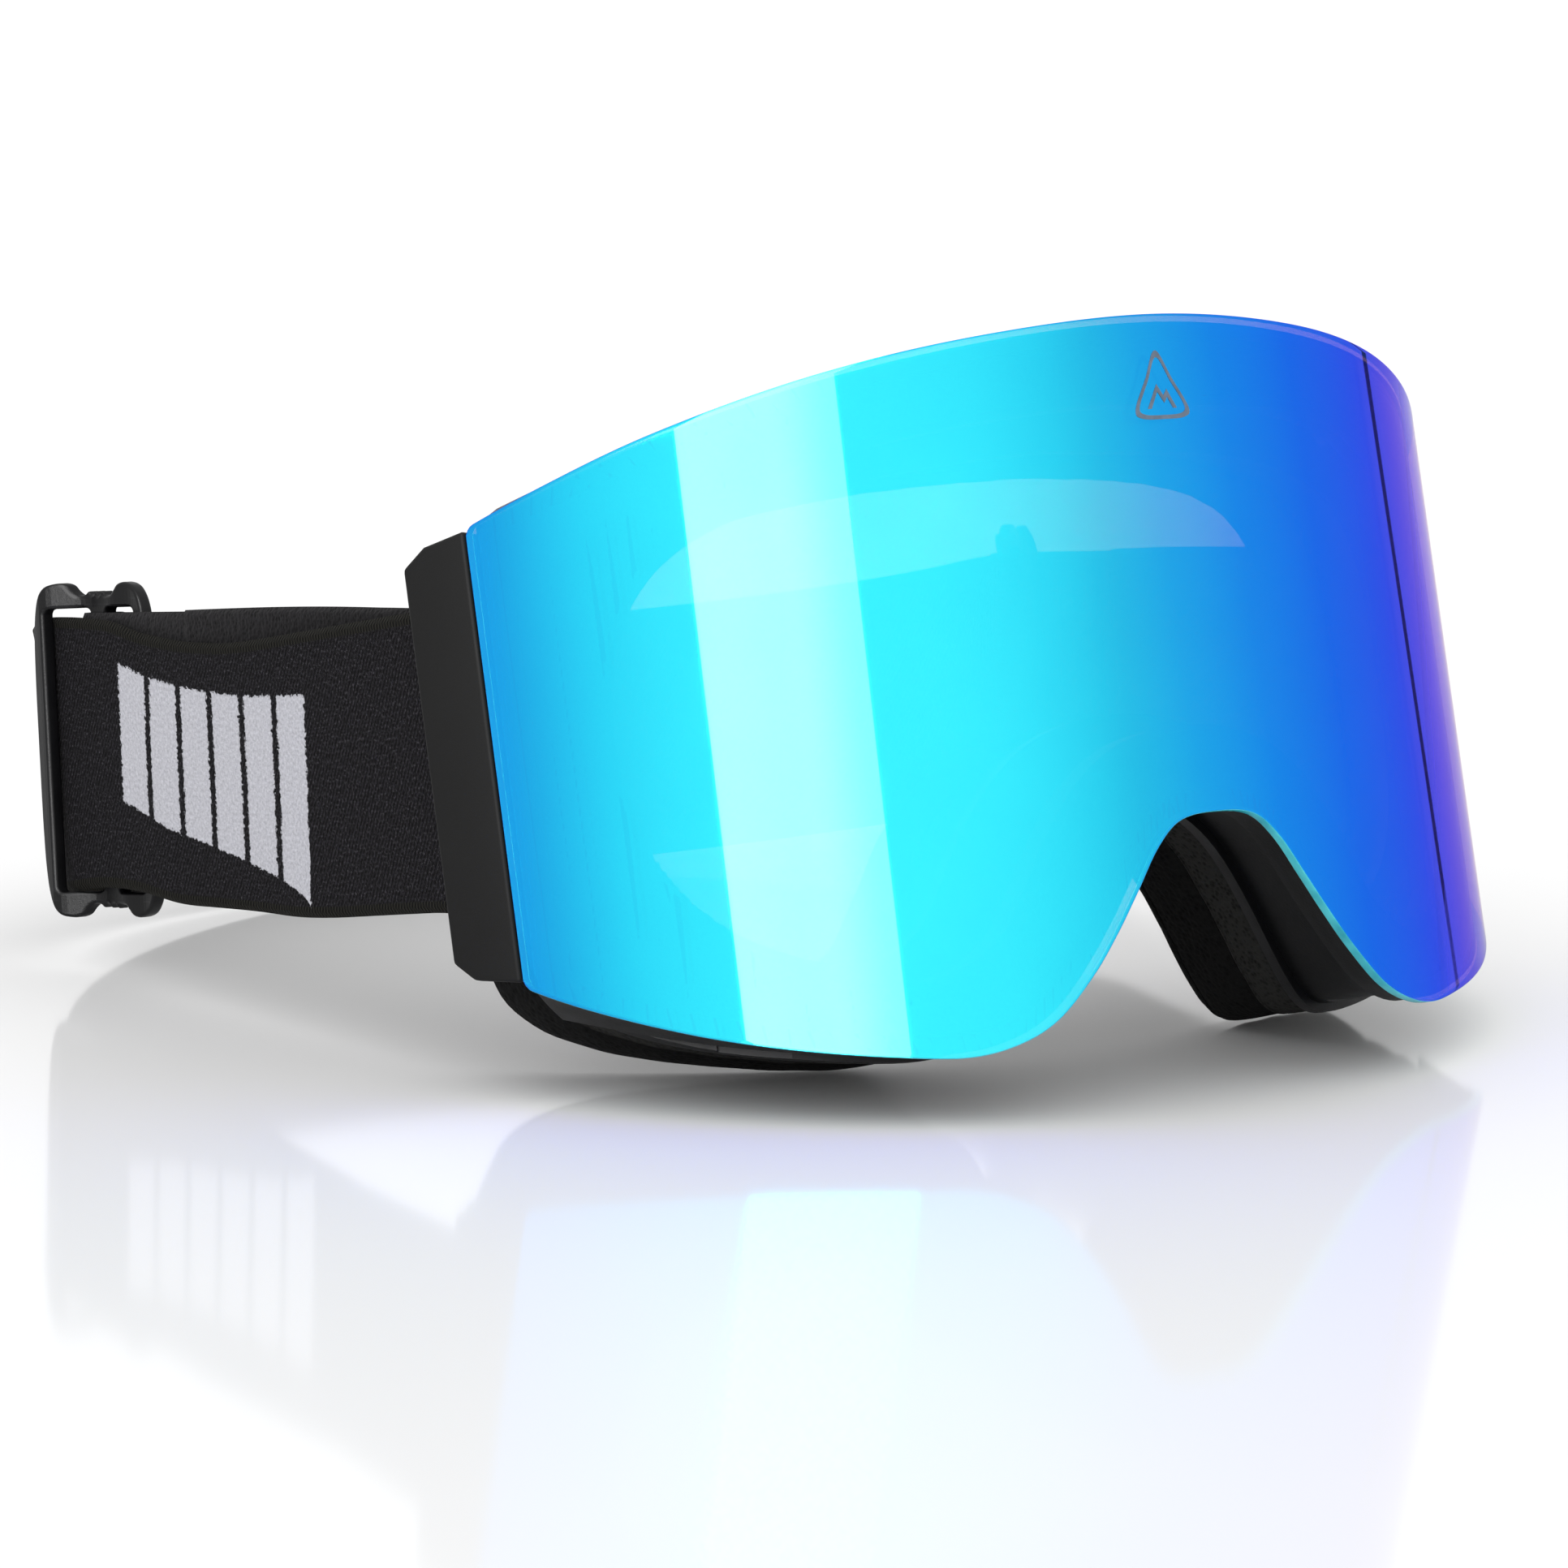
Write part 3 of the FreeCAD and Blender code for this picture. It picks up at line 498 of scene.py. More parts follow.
def loop_faces(columns, rows, closed_columns):
    """Quads over a tube: columns of closed rings with the given number of points."""
    faces = []
    count = columns if closed_columns else columns - 1
    for i in range(count):
        j = (i + 1) % columns
        for k in range(rows):
            m = (k + 1) % rows
            faces.append((i * rows + k, j * rows + k, j * rows + m, i * rows + m))
    return faces


# ---------------------------------------------------------------- curves


def smooth_line(points, step, closed=False):
    """Catmull-Rom curve through 2-D points, sampled evenly about every step."""
    p = np.asarray(points, float)
    if closed:
        p = np.vstack([p[-1:], p, p[:2]])
    else:
        p = np.vstack([2 * p[0] - p[1], p, 2 * p[-1] - p[-2]])
    fine = []
    for a, b, c, d in zip(p[:-3], p[1:-2], p[2:-1], p[3:]):
        t = np.linspace(0, 1, 24, endpoint=False)[:, None]
        square = (2 * a - 5 * b + 4 * c - d) * t ** 2
        cube = (3 * b - a - 3 * c + d) * t ** 3
        fine.append(0.5 * (2 * b + (c - a) * t + square + cube))
    fine = np.vstack(fine + [p[-2:-1]])
    return resample(fine, max(2, int(round(run_length(fine)[-1] / step)) + 1))


def run_length(points):
    """Distance along a line at each of its points."""
    return np.concatenate([[0], np.cumsum(np.linalg.norm(np.diff(points, axis=0), axis=1))])


def resample(points, count):
    length = run_length(points)
    wanted = np.linspace(0, length[-1], count)
    return np.stack([np.interp(wanted, length, points[:, i]) for i in (0, 1)], 1)


def running_mean(values, reach):
    """Mean of each value and its neighbours, with the ends held."""
    kernel = np.ones(2 * reach + 1) / (2 * reach + 1)
    return np.convolve(np.pad(values, reach, mode="edge"), kernel, "valid")


# ---------------------------------------------------------------- lens

LENS_TOP = [(0.0, 46.1), (24.8, 44.8), (46.2, 42.2), (67.8, 37.9), (84.0, 33.7), (99.0, 29.6)]
LENS_LOW = [
    (99.0, -28.4), (89.3, -32.7), (78.2, -36.9), (67.7, -40.3), (57.5, -42.9), (47.4, -44.9), (38.5, -46.1),
    (31.9, -45.3), (26.3, -42.8), (20.9, -37.8), (16.9, -32.9), (13.4, -28.0), (9.6, -22.6), (5.7, -19.4),
    (0.0, -18.7),
]


def mirrored(half):
    return [(-u, z) for u, z in reversed(half[1:])] + list(half)


LENS_TOP_LINE = smooth_line(mirrored(LENS_TOP), 0.4)
LENS_LOW_LINE = smooth_line(mirrored(LENS_LOW[::-1]), 0.4)


def on_lens(u, z, radius):
    """Point on a cylinder about the lens's axis, u measured along the outer surface."""
    angle = np.asarray(u) / LENS_R
    x = radius * np.sin(angle)
    y = LENS_R - radius * np.cos(angle)
    return np.stack([x, y, np.broadcast_to(z, x.shape)], -1)


def curved_plate(name, outer_radius, thickness, gap, bevel, rows):
    """Lens-shaped plate, gap millimetres inside the lens's edge, with rounded edges."""
    corner = 1.3
    nose_side = 44.0
    wide = LENS_HALF_WIDTH - gap
    near_end = wide - np.array([0.0, 0.12, 0.4, 0.8, corner])
    columns = np.unique(np.concatenate([
        np.arange(-nose_side, nose_side + 0.01, 0.7), np.arange(-wide, -nose_side, 1.5),
        np.arange(nose_side, wide, 1.5), near_end, -near_end,
    ]).round(3))
    top = np.interp(columns, LENS_TOP_LINE[:, 0], LENS_TOP_LINE[:, 1]) - gap
    low_line = LENS_LOW_LINE[np.argsort(LENS_LOW_LINE[:, 0])]
    slope = np.gradient(low_line[:, 1], low_line[:, 0])
    raised = low_line[:, 1] + gap * np.sqrt(1 + slope ** 2)
    low = np.interp(columns, low_line[:, 0], raised)
    past = np.clip(np.abs(columns) - (wide - corner), 0, corner)
    curl = corner - np.sqrt(corner ** 2 - past ** 2)
    top -= curl
    low += curl
    margin = 1.6 * bevel
    share = np.linspace(0, 1, rows - 2)
    grid_u = np.repeat(columns[:, None], rows, 1)
    inner = low[:, None] + margin + (top - low - 2 * margin)[:, None] * share[None, :]
    grid_z = np.hstack([low[:, None], inner, top[:, None]])
    count = grid_u.size
    front = on_lens(grid_u, grid_z, outer_radius).reshape(-1, 3)
    back = on_lens(grid_u, grid_z, outer_radius - thickness).reshape(-1, 3)
    vertices = place(np.vstack([front, back]))
    faces = []
    n = len(columns)
    for i in range(n - 1):
        for k in range(rows - 1):
            a = i * rows + k
            faces.append((a, a + rows, a + rows + 1, a + 1))
            faces.append((a + count, a + count + 1, a + count + rows + 1, a + count + rows))
    sheet_faces = len(faces)
    for i in range(n - 1):
        for k in (0, rows - 1):
            a = i * rows + k
            faces.append((a, a + count, a + count + rows, a + rows))
    for k in range(rows - 1):
        for i in (0, n - 1):
            a = i * rows + k
            faces.append((a, a + 1, a + 1 + count, a + count))
    piece = mesh_object(name, vertices, faces)
    for index in range(sheet_faces, len(faces)):
        piece.data.polygons[index].material_index = 1
    round_edges(piece, bevel, 3, 50.0).material = 1
    return apply_modifiers(piece)


mirror = curved_plate("lens_outer_mirror", LENS_R, 1.4, 0.0, 0.35, 44)
rims = [face.material_index for face in mirror.data.polygons]
finish_piece(mirror, "lens", "lens_mirror", ["outer_lens"])
mirror.data.materials.append(LENS_RIM_GLOW_PAINT)
mirror.data.polygons.foreach_set("material_index", rims)
clear = curved_plate("lens_inner_clear", LENS_R - 3.8, 0.8, 3.3, 0.15, 24)
finish_piece(clear, "lens", "lens_clear", ["inner_lens"])


def lens_mark():
    """Plain mark near the lens's top edge: a rounded triangle outline with a peak inside."""
    outer = smooth_line([
        (0.0, 41.3), (2.1, 37.6), (4.2, 33.7), (3.4, 32.5),
        (0.0, 32.3), (-3.4, 32.5), (-4.2, 33.7), (-2.1, 37.6),
    ], 0.3, True)[:-1]
    centre = np.array([0.0, 35.6])
    inner = centre + (outer - centre) * 0.84
    peak = [
        (-2.3, 33.7), (-0.5, 36.9), (0.4, 35.4), (1.0, 36.2), (2.3, 33.7),
        (1.7, 33.7), (0.95, 35.2), (0.4, 34.4), (-0.5, 35.9), (-1.7, 33.7),
    ]
    n = len(outer)
    faces = [(i, (i + 1) % n, n + (i + 1) % n, n + i) for i in range(n)]
    first, last = 2 * n, 2 * n + len(peak) - 1
    faces += [(first + i, first + i + 1, last - 1 - i, last - i) for i in range(len(peak) // 2 - 1)]
    flat = np.vstack([outer, inner, peak])
    piece = mesh_object("lens_mark", place(on_lens(flat[:, 0], flat[:, 1], LENS_R + 0.03)), faces)
    solid = piece.modifiers.new("foil", "SOLIDIFY")
    solid.thickness = 2.5e-5
    solid.offset = 0.0
    apply_modifiers(piece)
    finish_piece(piece, "lens", "lens_mirror", material=MARK_GREY, smooth=False)


lens_mark()

# ---------------------------------------------------------------- rings of foam and fleece

FACE_EDGE = [
    (0.0, 43.4), (20.0, 42.9), (40.0, 40.6), (56.0, 36.4), (66.0, 31.6), (71.0, 25.0), (72.0, 14.0),
    (72.0, -12.0), (71.2, -24.0), (68.0, -33.0), (60.0, -39.0), (48.0, -43.0), (36.0, -45.2), (28.6, -44.6),
    (24.0, -39.6), (20.6, -33.2), (17.4, -27.2), (13.4, -21.4), (7.6, -16.8), (0.0, -15.0),
]
EYE_EDGE = [
    (0.0, 31.6), (24.0, 30.8), (42.0, 28.2), (55.0, 22.4), (61.0, 12.0), (62.0, 0.0), (60.8, -12.0),
    (56.0, -22.4), (47.0, -29.6), (38.0, -32.0), (32.0, -29.4), (27.4, -22.4), (21.6, -13.2), (13.0, -6.0),
    (0.0, -3.4),
]
# Points of both outlines that face each other, and how many steps lie between them.
FACE_KEYS = (0, 6, 12, 19)
EYE_KEYS = (0, 5, 9, 14)
KEY_COUNTS = (74, 60, 62)


def keyed_outline(half, keys, gap):
    """Closed outline moved inward by gap, with its points matched to the same key places."""
    p = np.asarray(half, float)
    loop = np.vstack([p, np.stack([-p[-2:0:-1, 0], p[-2:0:-1, 1]], 1)])
    tangent = np.roll(loop, -1, 0) - np.roll(loop, 1, 0)
    tangent /= np.linalg.norm(tangent, axis=1)[:, None]
    moved = (loop + gap * np.stack([tangent[:, 1], -tangent[:, 0]], 1))[:len(p)]
    moved[0, 0] = moved[-1, 0] = 0.0
    flip = np.array([-1.0, 1.0])
    whole = smooth_line(np.vstack([moved[1:2] * flip, moved, moved[-2:-1] * flip]), 0.2)
    ends = [int(np.argmin(np.linalg.norm(whole - moved[k], axis=1))) for k in keys]
    parts = [resample(whole[a:b + 1], n + 1)[:-1] for a, b, n in zip(ends[:-1], ends[1:], KEY_COUNTS)]
    right = np.vstack(parts + [whole[ends[-1]:ends[-1] + 1]])
    left = np.stack([-right[-2:0:-1, 0], right[-2:0:-1, 1]], 1)
    return np.vstack([right, left])


def depth_of(surface, x):
    vertex, radius = surface
    return vertex + radius - np.sqrt(radius ** 2 - x ** 2)


def ring_section(front_round, back_round, crown):
    """Cross-section of a foam ring as rows (v, dv, w, dw). v runs 0 to 1 from the eye edge to the
    outer edge and w from front to back; dv and dw are millimetres added to them."""
    section = []

    def corner(v, w, radius, from_side):
        steps = np.linspace(0, math.pi / 2, 5)
        for s in steps if from_side else steps[::-1]:
            dv = radius * (1 - math.sin(s))
            dw = radius * (1 - math.cos(s))
            section.append((v, -dv if v else dv, w, -dw if w else dw))

    def wall(v, start, stop):
        for t in np.linspace(start, stop, 8)[1:-1]:
            bulge = crown * math.sin(math.pi * t)
            section.append((v, bulge if v else -bulge, t, 0.0))

    def face(w, start, stop, count, lift):
        for t in np.linspace(start, stop, count)[1:-1]:
            section.append((t, 0.0, w, lift * crown * math.sin(math.pi * t)))

    corner(0, 0, front_round, True)
    face(0, 0.08, 0.92, 7, 0.0)
    corner(1, 0, front_round, False)
    wall(1, 0.08, 0.92)
    corner(1, 1, back_round, True)
    face(1, 0.92, 0.08, 9, 0.8)
    corner(0, 1, back_round, False)
    wall(0, 0.92, 0.08)
    return np.array(section)


# Slow waves of the foam's surface: direction and phase of each.
FOAM_WAVES = (
    ((0.52, 0.31, 0.44), 0.3), ((-0.37, 0.66, 0.28), 1.7),
    ((0.21, -0.45, 0.83), 2.9), ((0.9, 0.2, -0.7), 4.1),
)
WAVE_HEIGHT = 0.035


def soft_ring(name, gap, opening_gap, front, back, front_round, back_round, crown):
    """Foam ring between two curved surfaces, with rounded edges and slightly crowned sides."""
    outer = keyed_outline(FACE_EDGE, FACE_KEYS, gap)
    inner = keyed_outline(EYE_EDGE, EYE_KEYS, -opening_gap)
    section = ring_section(front_round, back_round, crown)
    width = np.linalg.norm(outer - inner, axis=1)[:, None]
    depth = (depth_of(back, outer[:, 0]) - depth_of(front, outer[:, 0]))[:, None]
    v = section[:, 0] + section[:, 1] / width
    w = section[:, 2] + section[:, 3] / depth
    plan = inner[:, None] + (outer - inner)[:, None] * v[..., None]
    x, z = plan[..., 0], plan[..., 1]
    y = depth_of(front, x) + w * (depth_of(back, x) - depth_of(front, x))
    points = np.stack([x, y, z], -1).reshape(-1, 3)
    waves = sum(np.sin(points @ np.array(direction) + phase) for direction, phase in FOAM_WAVES)
    outward = points[:, [0, 2]] - np.repeat((outer + inner) / 2, len(section), 0)
    outward /= np.maximum(np.linalg.norm(outward, axis=1), 0.1)[:, None]
    points[:, [0, 2]] += outward * (waves * WAVE_HEIGHT)[:, None]
    return mesh_object(name, place(points), loop_faces(len(outer), len(section), True))


# Curved surfaces between the layers: where each crosses the middle, and its radius.
BACK_SURFACE = (22.0, 93.0)
BASE_SURFACE = (30.0, 96.0)
SOFT_SURFACE = (44.0, 100.0)
PRESSED_SURFACE = (43.6, 100.0)
FLEECE_SURFACE = (45.2, 101.0)

base_foam = soft_ring("face_foam_grey", 0.6, 1.0, BACK_SURFACE, BASE_SURFACE, 0.25, 0.5, 0.10)
finish_piece(base_foam, "goggles", "foam_grey", ["face_foam_base"])
soft_foam = soft_ring("face_foam_black", 0.9, 0.0, BASE_SURFACE, SOFT_SURFACE, 0.5, 2.4, 0.35)
finish_piece(soft_foam, "goggles", "foam_black", ["face_foam_soft"])
fleece_ring = soft_ring("face_fleece_lining", 2.6, 1.6, PRESSED_SURFACE, FLEECE_SURFACE, 0.4, 0.7, 0.12)
finish_piece(fleece_ring, "goggles", "fleece", ["face_fleece"])

# ---------------------------------------------------------------- copies of CAD solids


def copy_of(node_name, name):
    source = frame["nodes"][node_name]
    mesh = source.data.copy()
    work = bmesh.new()
    work.from_mesh(mesh)
    bmesh.ops.remove_doubles(work, verts=work.verts, dist=1e-6)
    bmesh.ops.dissolve_limit(work, angle_limit=math.radians(1.0), verts=work.verts, edges=work.edges)
    work.to_mesh(mesh)
    work.free()
    piece = bpy.data.objects.new(name, mesh)
    bpy.context.collection.objects.link(piece)
    return piece


def softened(node_name, name, voxel, rounds, body, slot):
    """Foam strip grown from its solid: remeshed, relaxed and given an uneven skin."""
    piece = copy_of(node_name, name)
    grid = piece.modifiers.new("grid", "REMESH")
    grid.mode = "VOXEL"
    grid.voxel_size = voxel
    relax = piece.modifiers.new("relax", "SMOOTH")
    relax.iterations = rounds
    relax.factor = 0.5
    apply_modifiers(piece)
    finish_piece(piece, body, slot, [node_name])


softened("top_vent_foam", "vent_foam_top", 0.0005, 3, "goggles", "vent_foam")
softened("bottom_vent_foam", "vent_foam_low", 0.0005, 3, "goggles", "vent_foam")
softened("lens_spacer", "lens_gasket", 0.00045, 2, "lens", "gasket_foam")


def rounded_copy(node_name, name, width, slot, segments):
    """Hard piece of the goggles with its moulded edge radii."""
    piece = copy_of(node_name, name)
    round_edges(piece, width, segments, 28.0)
    apply_modifiers(piece)
    finish_piece(piece, "goggles", slot, [node_name])
    piece.data.set_sharp_from_angle(angle=math.radians(35))


for tag in ("right", "left"):
    rounded_copy("side_cover_" + tag, "cover_" + tag, 0.55, "cover_black", 3)
    rounded_copy("strap_bracket_" + tag, "bracket_" + tag, 0.2, "bracket_black", 2)

# ---------------------------------------------------------------- strap

EDGE_SINE = math.sin(HALF_ARC)
EDGE_COSINE = math.cos(HALF_ARC)
BAR_BACK = 8.2
BAR_IN = 5.2
BAR_X = LENS_R * EDGE_SINE + BAR_BACK * EDGE_COSINE - BAR_IN * EDGE_SINE
BAR_Y = LENS_R * (1 - EDGE_COSINE) + BAR_BACK * EDGE_SINE + BAR_IN * EDGE_COSINE
BAR_HEIGHT = 1.1
FLARE = math.radians(3.1)
TILT = math.radians(8.65)
STRAIGHT = 106.0
BACK_DEPTH = 44.0
BACK_DROP = 0.75
PLY = 1.2
HALF_WEB = 20.0
WRAP = 2.1
SLIDER_AT = 98.7
TAIL = 28.0
SEWN_OUT = 0.6


def strap_xy(side, out, along):
    """Plan place measured from a bar: outward from the strap's line and back along it."""
    x = BAR_X + out * math.cos(FLARE) + along * math.sin(FLARE)
    y = BAR_Y - out * math.sin(FLARE) + along * math.cos(FLARE)
    return np.array([side * x, y])


def centre_height(y):
    """Height of the strap's middle line, which rises away from the bar."""
    return BAR_HEIGHT + (y - BAR_Y) * math.tan(TILT) / math.cos(FLARE)


TURN_Y = strap_xy(1, WRAP + PLY / 2, STRAIGHT)[1]

# Upper and lower edge of the outer layer, up from its middle line, as it sags towards the slider.
SAG_ALONG = [0.0, 6.0, 20.0, 35.0, 45.0, 55.0, 66.0, 76.0, 82.0, 86.0, 92.0, 100.0, 108.0]
SAG_HIGH = [20.2, 19.8, 18.6, 17.3, 16.4, 15.7, 15.9, 16.8, 17.5, 18.9, 19.3, 19.7, 20.2]
SAG_LOW = [-20.2, -19.9, -20.8, -21.8, -22.1, -21.7, -21.6, -21.6, -21.0, -20.3, -19.9, -19.8, -20.2]


def strap_rows(count):
    """Heights from -1 to 1, closer together near the edges."""
    t = np.linspace(-1, 1, count)
    return np.sign(t) * (1 - (1 - np.abs(t)) ** 1.25)


def ply_half(share, half, edge):
    """Half thickness across the strap, rounded off within edge millimetres of each side."""
    return half * np.clip((1 - np.abs(share)) * HALF_WEB / edge, 0.0, 1.0) ** 0.5


def tube_faces(columns, ring):
    """Side quads and both end caps of a strip whose columns are closed rings."""
    faces = loop_faces(columns, ring, False)
    faces.append(tuple(range(ring)))
    faces.append(tuple(range((columns - 1) * ring, columns * ring))[::-1])
    return faces


def band(name, centre, normal, low, high, thickness, along, bulge, slant):
    """Flat webbing with beaded selvedges: centre is its plan line, normal points outward, low and
    high are its edges. slant pushes each column's top forward and its bottom back."""
    rows = 26
    share = strap_rows(rows)
    edge_distance = (1 - np.abs(share)) * HALF_WEB
    bead = 0.10 * np.exp(-((edge_distance - 0.9) / 0.6) ** 2)
    half = np.maximum(ply_half(share, thickness / 2, 0.55) + bead, 0.12)
    points, uvs = [], []
    for i in range(len(centre)):
        heights = low[i] + (high[i] - low[i]) * (share + 1) / 2
        push = bulge(along[i], share)
        for sign, order in ((1, range(rows)), (-1, range(rows - 1, -1, -1))):
            for k in order:
                x, y = centre[i] + normal[i] * (push[k] + sign * half[k])
                points.append((x, y - slant[i] * share[k], heights[k]))
                uvs.append((along[i], share[k] * HALF_WEB))
    return mesh_object(name, place(points), tube_faces(len(centre), 2 * rows), uvs)


def plan_normals(line):
    tangent = np.gradient(line, axis=0)
    tangent /= np.linalg.norm(tangent, axis=1)[:, None]
    return np.stack([tangent[:, 1], -tangent[:, 0]], 1)


def outward_normals(line, index):
    """Plan normals turned so that the one at an index points away from the wearer's head."""
    normal = plan_normals(line)
    head = np.array([0.0, 100.0])
    return normal if normal[index] @ (line[index] - head) > 0 else -normal


def strap_line():
    """Plan line of the loop: round the right bar, back along the head, and round the left bar."""
    side = [(WRAP * math.cos(a), -WRAP * math.sin(a)) for a in np.radians(np.arange(180, 0, -8))]
    side += [(WRAP, along) for along in np.arange(0, STRAIGHT + 0.01, 0.9)]
    right = np.array([strap_xy(-1, out, along) for out, along in side])
    x_axis = strap_xy(1, WRAP, STRAIGHT)[0]
    angles = np.linspace(0, math.pi, 190)[1:-1]
    back = np.stack([-x_axis * np.cos(angles), TURN_Y + (BACK_DEPTH - PLY / 2) * np.sin(angles)], 1)
    left = np.stack([-right[::-1, 0], right[::-1, 1]], 1)
    return np.vstack([right, back, left]), len(side)


def strap_middle_height(y):
    """Middle height along the loop, with the bend where the rise turns level eased."""
    level = centre_height(TURN_Y) - BACK_DROP * np.clip((y - TURN_Y) / (BACK_DEPTH + 2), 0, 1)
    rise = np.where(y < TURN_Y, centre_height(y), level)
    return np.where(y > TURN_Y - 14, running_mean(rise, 12), rise)


def hump(along, middle, spread):
    """Bell-shaped rise, 1 at its middle."""
    return math.exp(-((along - middle) / spread) ** 2)


def strap_bulge(along, share):
    """The outer layer stands off towards its sagging top edge and ripples before the slider."""
    swell = 0.28 * hump(along, 58.0, 20.0) * (0.35 + 0.65 * np.clip(share + 0.2, 0, 1))
    ripple = 0.22 * hump(along, 78.0, 5.0) * np.cos(share * 2.0 + 0.4)
    fold = 0.22 * hump(along, 40.0, 6.0) * np.clip(-share, 0, 1)
    return swell + ripple + fold


def outer_strap():
    """Outer layer of the strap, one loop from bar to bar."""
    line, side_count = strap_line()
    length = run_length(line)
    from_bar = np.minimum(length, length[-1] - length) - math.pi * WRAP
    middle = strap_middle_height(line[:, 1])
    level_share = np.clip((line[:, 1] - TURN_Y) / 12.0, 0, 1)
    edges = []
    for sag, level in ((SAG_LOW, -HALF_WEB), (SAG_HIGH, HALF_WEB)):
        edge = running_mean(np.interp(np.maximum(from_bar, 0), SAG_ALONG, sag), 4)
        edges.append(middle + edge * (1 - level_share) + level * level_share)
    normal = outward_normals(line, side_count - 5)
    piece = band("strap_outer", line, normal, *edges, PLY, from_bar, strap_bulge, np.zeros(len(line)))
    finish_piece(piece, "goggles", "strap_elastic", ["strap"])


outer_strap()


def strap_return(tag, side):
    """Inner layer from the bar back to the sewn end at the slider."""
    stop = SLIDER_AT - TAIL * math.cos(TILT)
    share = np.linspace(0, 1, 60)
    along = share * stop
    line = np.array([strap_xy(side, -WRAP + (WRAP + SEWN_OUT) * t, stop * t) for t in share])
    middle = centre_height(line[:, 1]) + 0.5 * np.sin(share * math.pi)
    half = 19.95

    def bulge(distance, rows):
        return -0.5 * math.sin(math.pi * distance / stop) ** 2 * (0.5 + 0.5 * rows)

    slant_from = 20.0
    slant = HALF_WEB * math.sin(TILT) * np.clip((along - slant_from) / (stop - slant_from), 0, 1)
    piece = band(
        "strap_inner_" + tag, line, outward_normals(line, 10), middle - half, middle + half, PLY - 0.1,
        along, bulge, slant,
    )
    finish_piece(piece, None, "strap_elastic", ["strap_return_" + tag], PILE)
    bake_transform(piece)


def slider_point(side, out, along, up):
    """Slider-frame millimetres to the lens frame."""
    forward = along * math.cos(TILT) - up * math.sin(TILT)
    x, y = strap_xy(side, out, SLIDER_AT + forward)
    base = centre_height(strap_xy(side, 0, SLIDER_AT)[1])
    return (x, y, base + along * math.sin(TILT) + up * math.cos(TILT))


# Middle line of the sewn end, (out, along): round the middle bar and back under itself.
SEWN_PATH = [
    (0.6, -28.0), (0.6, -20.0), (0.6, -12.0), (0.6, -6.0), (0.6, 0.0), (0.55, 2.0), (0.0, 3.3),
    (-1.3, 3.6), (-2.5, 3.1), (-2.95, 1.8), (-2.9, 0.0), (-2.8, -2.2), (-1.9, -4.5), (-0.9, -6.5),
    (-0.72, -9.0), (-0.72, -16.0), (-0.72, -25.0),
]

# Side rail of a slider: distance along the strap and its middle line measured out from the bar.
RAIL_ALONG = [-10.5, -7.2, -3.8, 2.6, 7.4, 10.5]
RAIL_OUT = [-2.7, -2.7, -1.15, -1.15, 4.1, 4.1]
HALF_RAIL = 1.05
# Upper half of a slider's outline, with its horns and teeth, and the two windows' ends.
SLIDER_TOP = [
    (10.5, 0.0), (10.45, 10.0), (10.1, 17.0), (9.2, 21.2), (7.6, 23.6), (5.9, 24.3), (4.9, 24.0),
    (4.3, 23.0), (3.7, 22.4), (3.0, 22.5), (2.4, 23.0), (1.8, 22.5), (1.1, 22.4), (0.4, 23.0),
    (-0.3, 22.4), (-1.0, 22.5), (-1.6, 23.0), (-2.2, 22.4), (-3.0, 22.4), (-3.7, 22.5), (-4.3, 23.2),
    (-5.0, 24.0), (-6.2, 24.2), (-7.9, 23.4), (-9.5, 21.4), (-10.3, 18.0), (-10.5, 10.0), (-10.5, 0.0),
]
WINDOWS = ((-7.6, -2.2), (2.2, 7.6))
WINDOW_HALF_HEIGHT = 20.6


def rounded_box(low, high, tall, radius):
    """Rectangle from low to high and as far above the middle as below, with round corners."""
    points = []
    for cx, cy, start in (
        (high - radius, tall - radius, 0), (low + radius, tall - radius, 90),
        (low + radius, radius - tall, 180), (high - radius, radius - tall, 270),
    ):
        for step in range(6):
            angle = math.radians(start + 18 * step)
            points.append((cx + radius * math.cos(angle), cy + radius * math.sin(angle)))
    return points


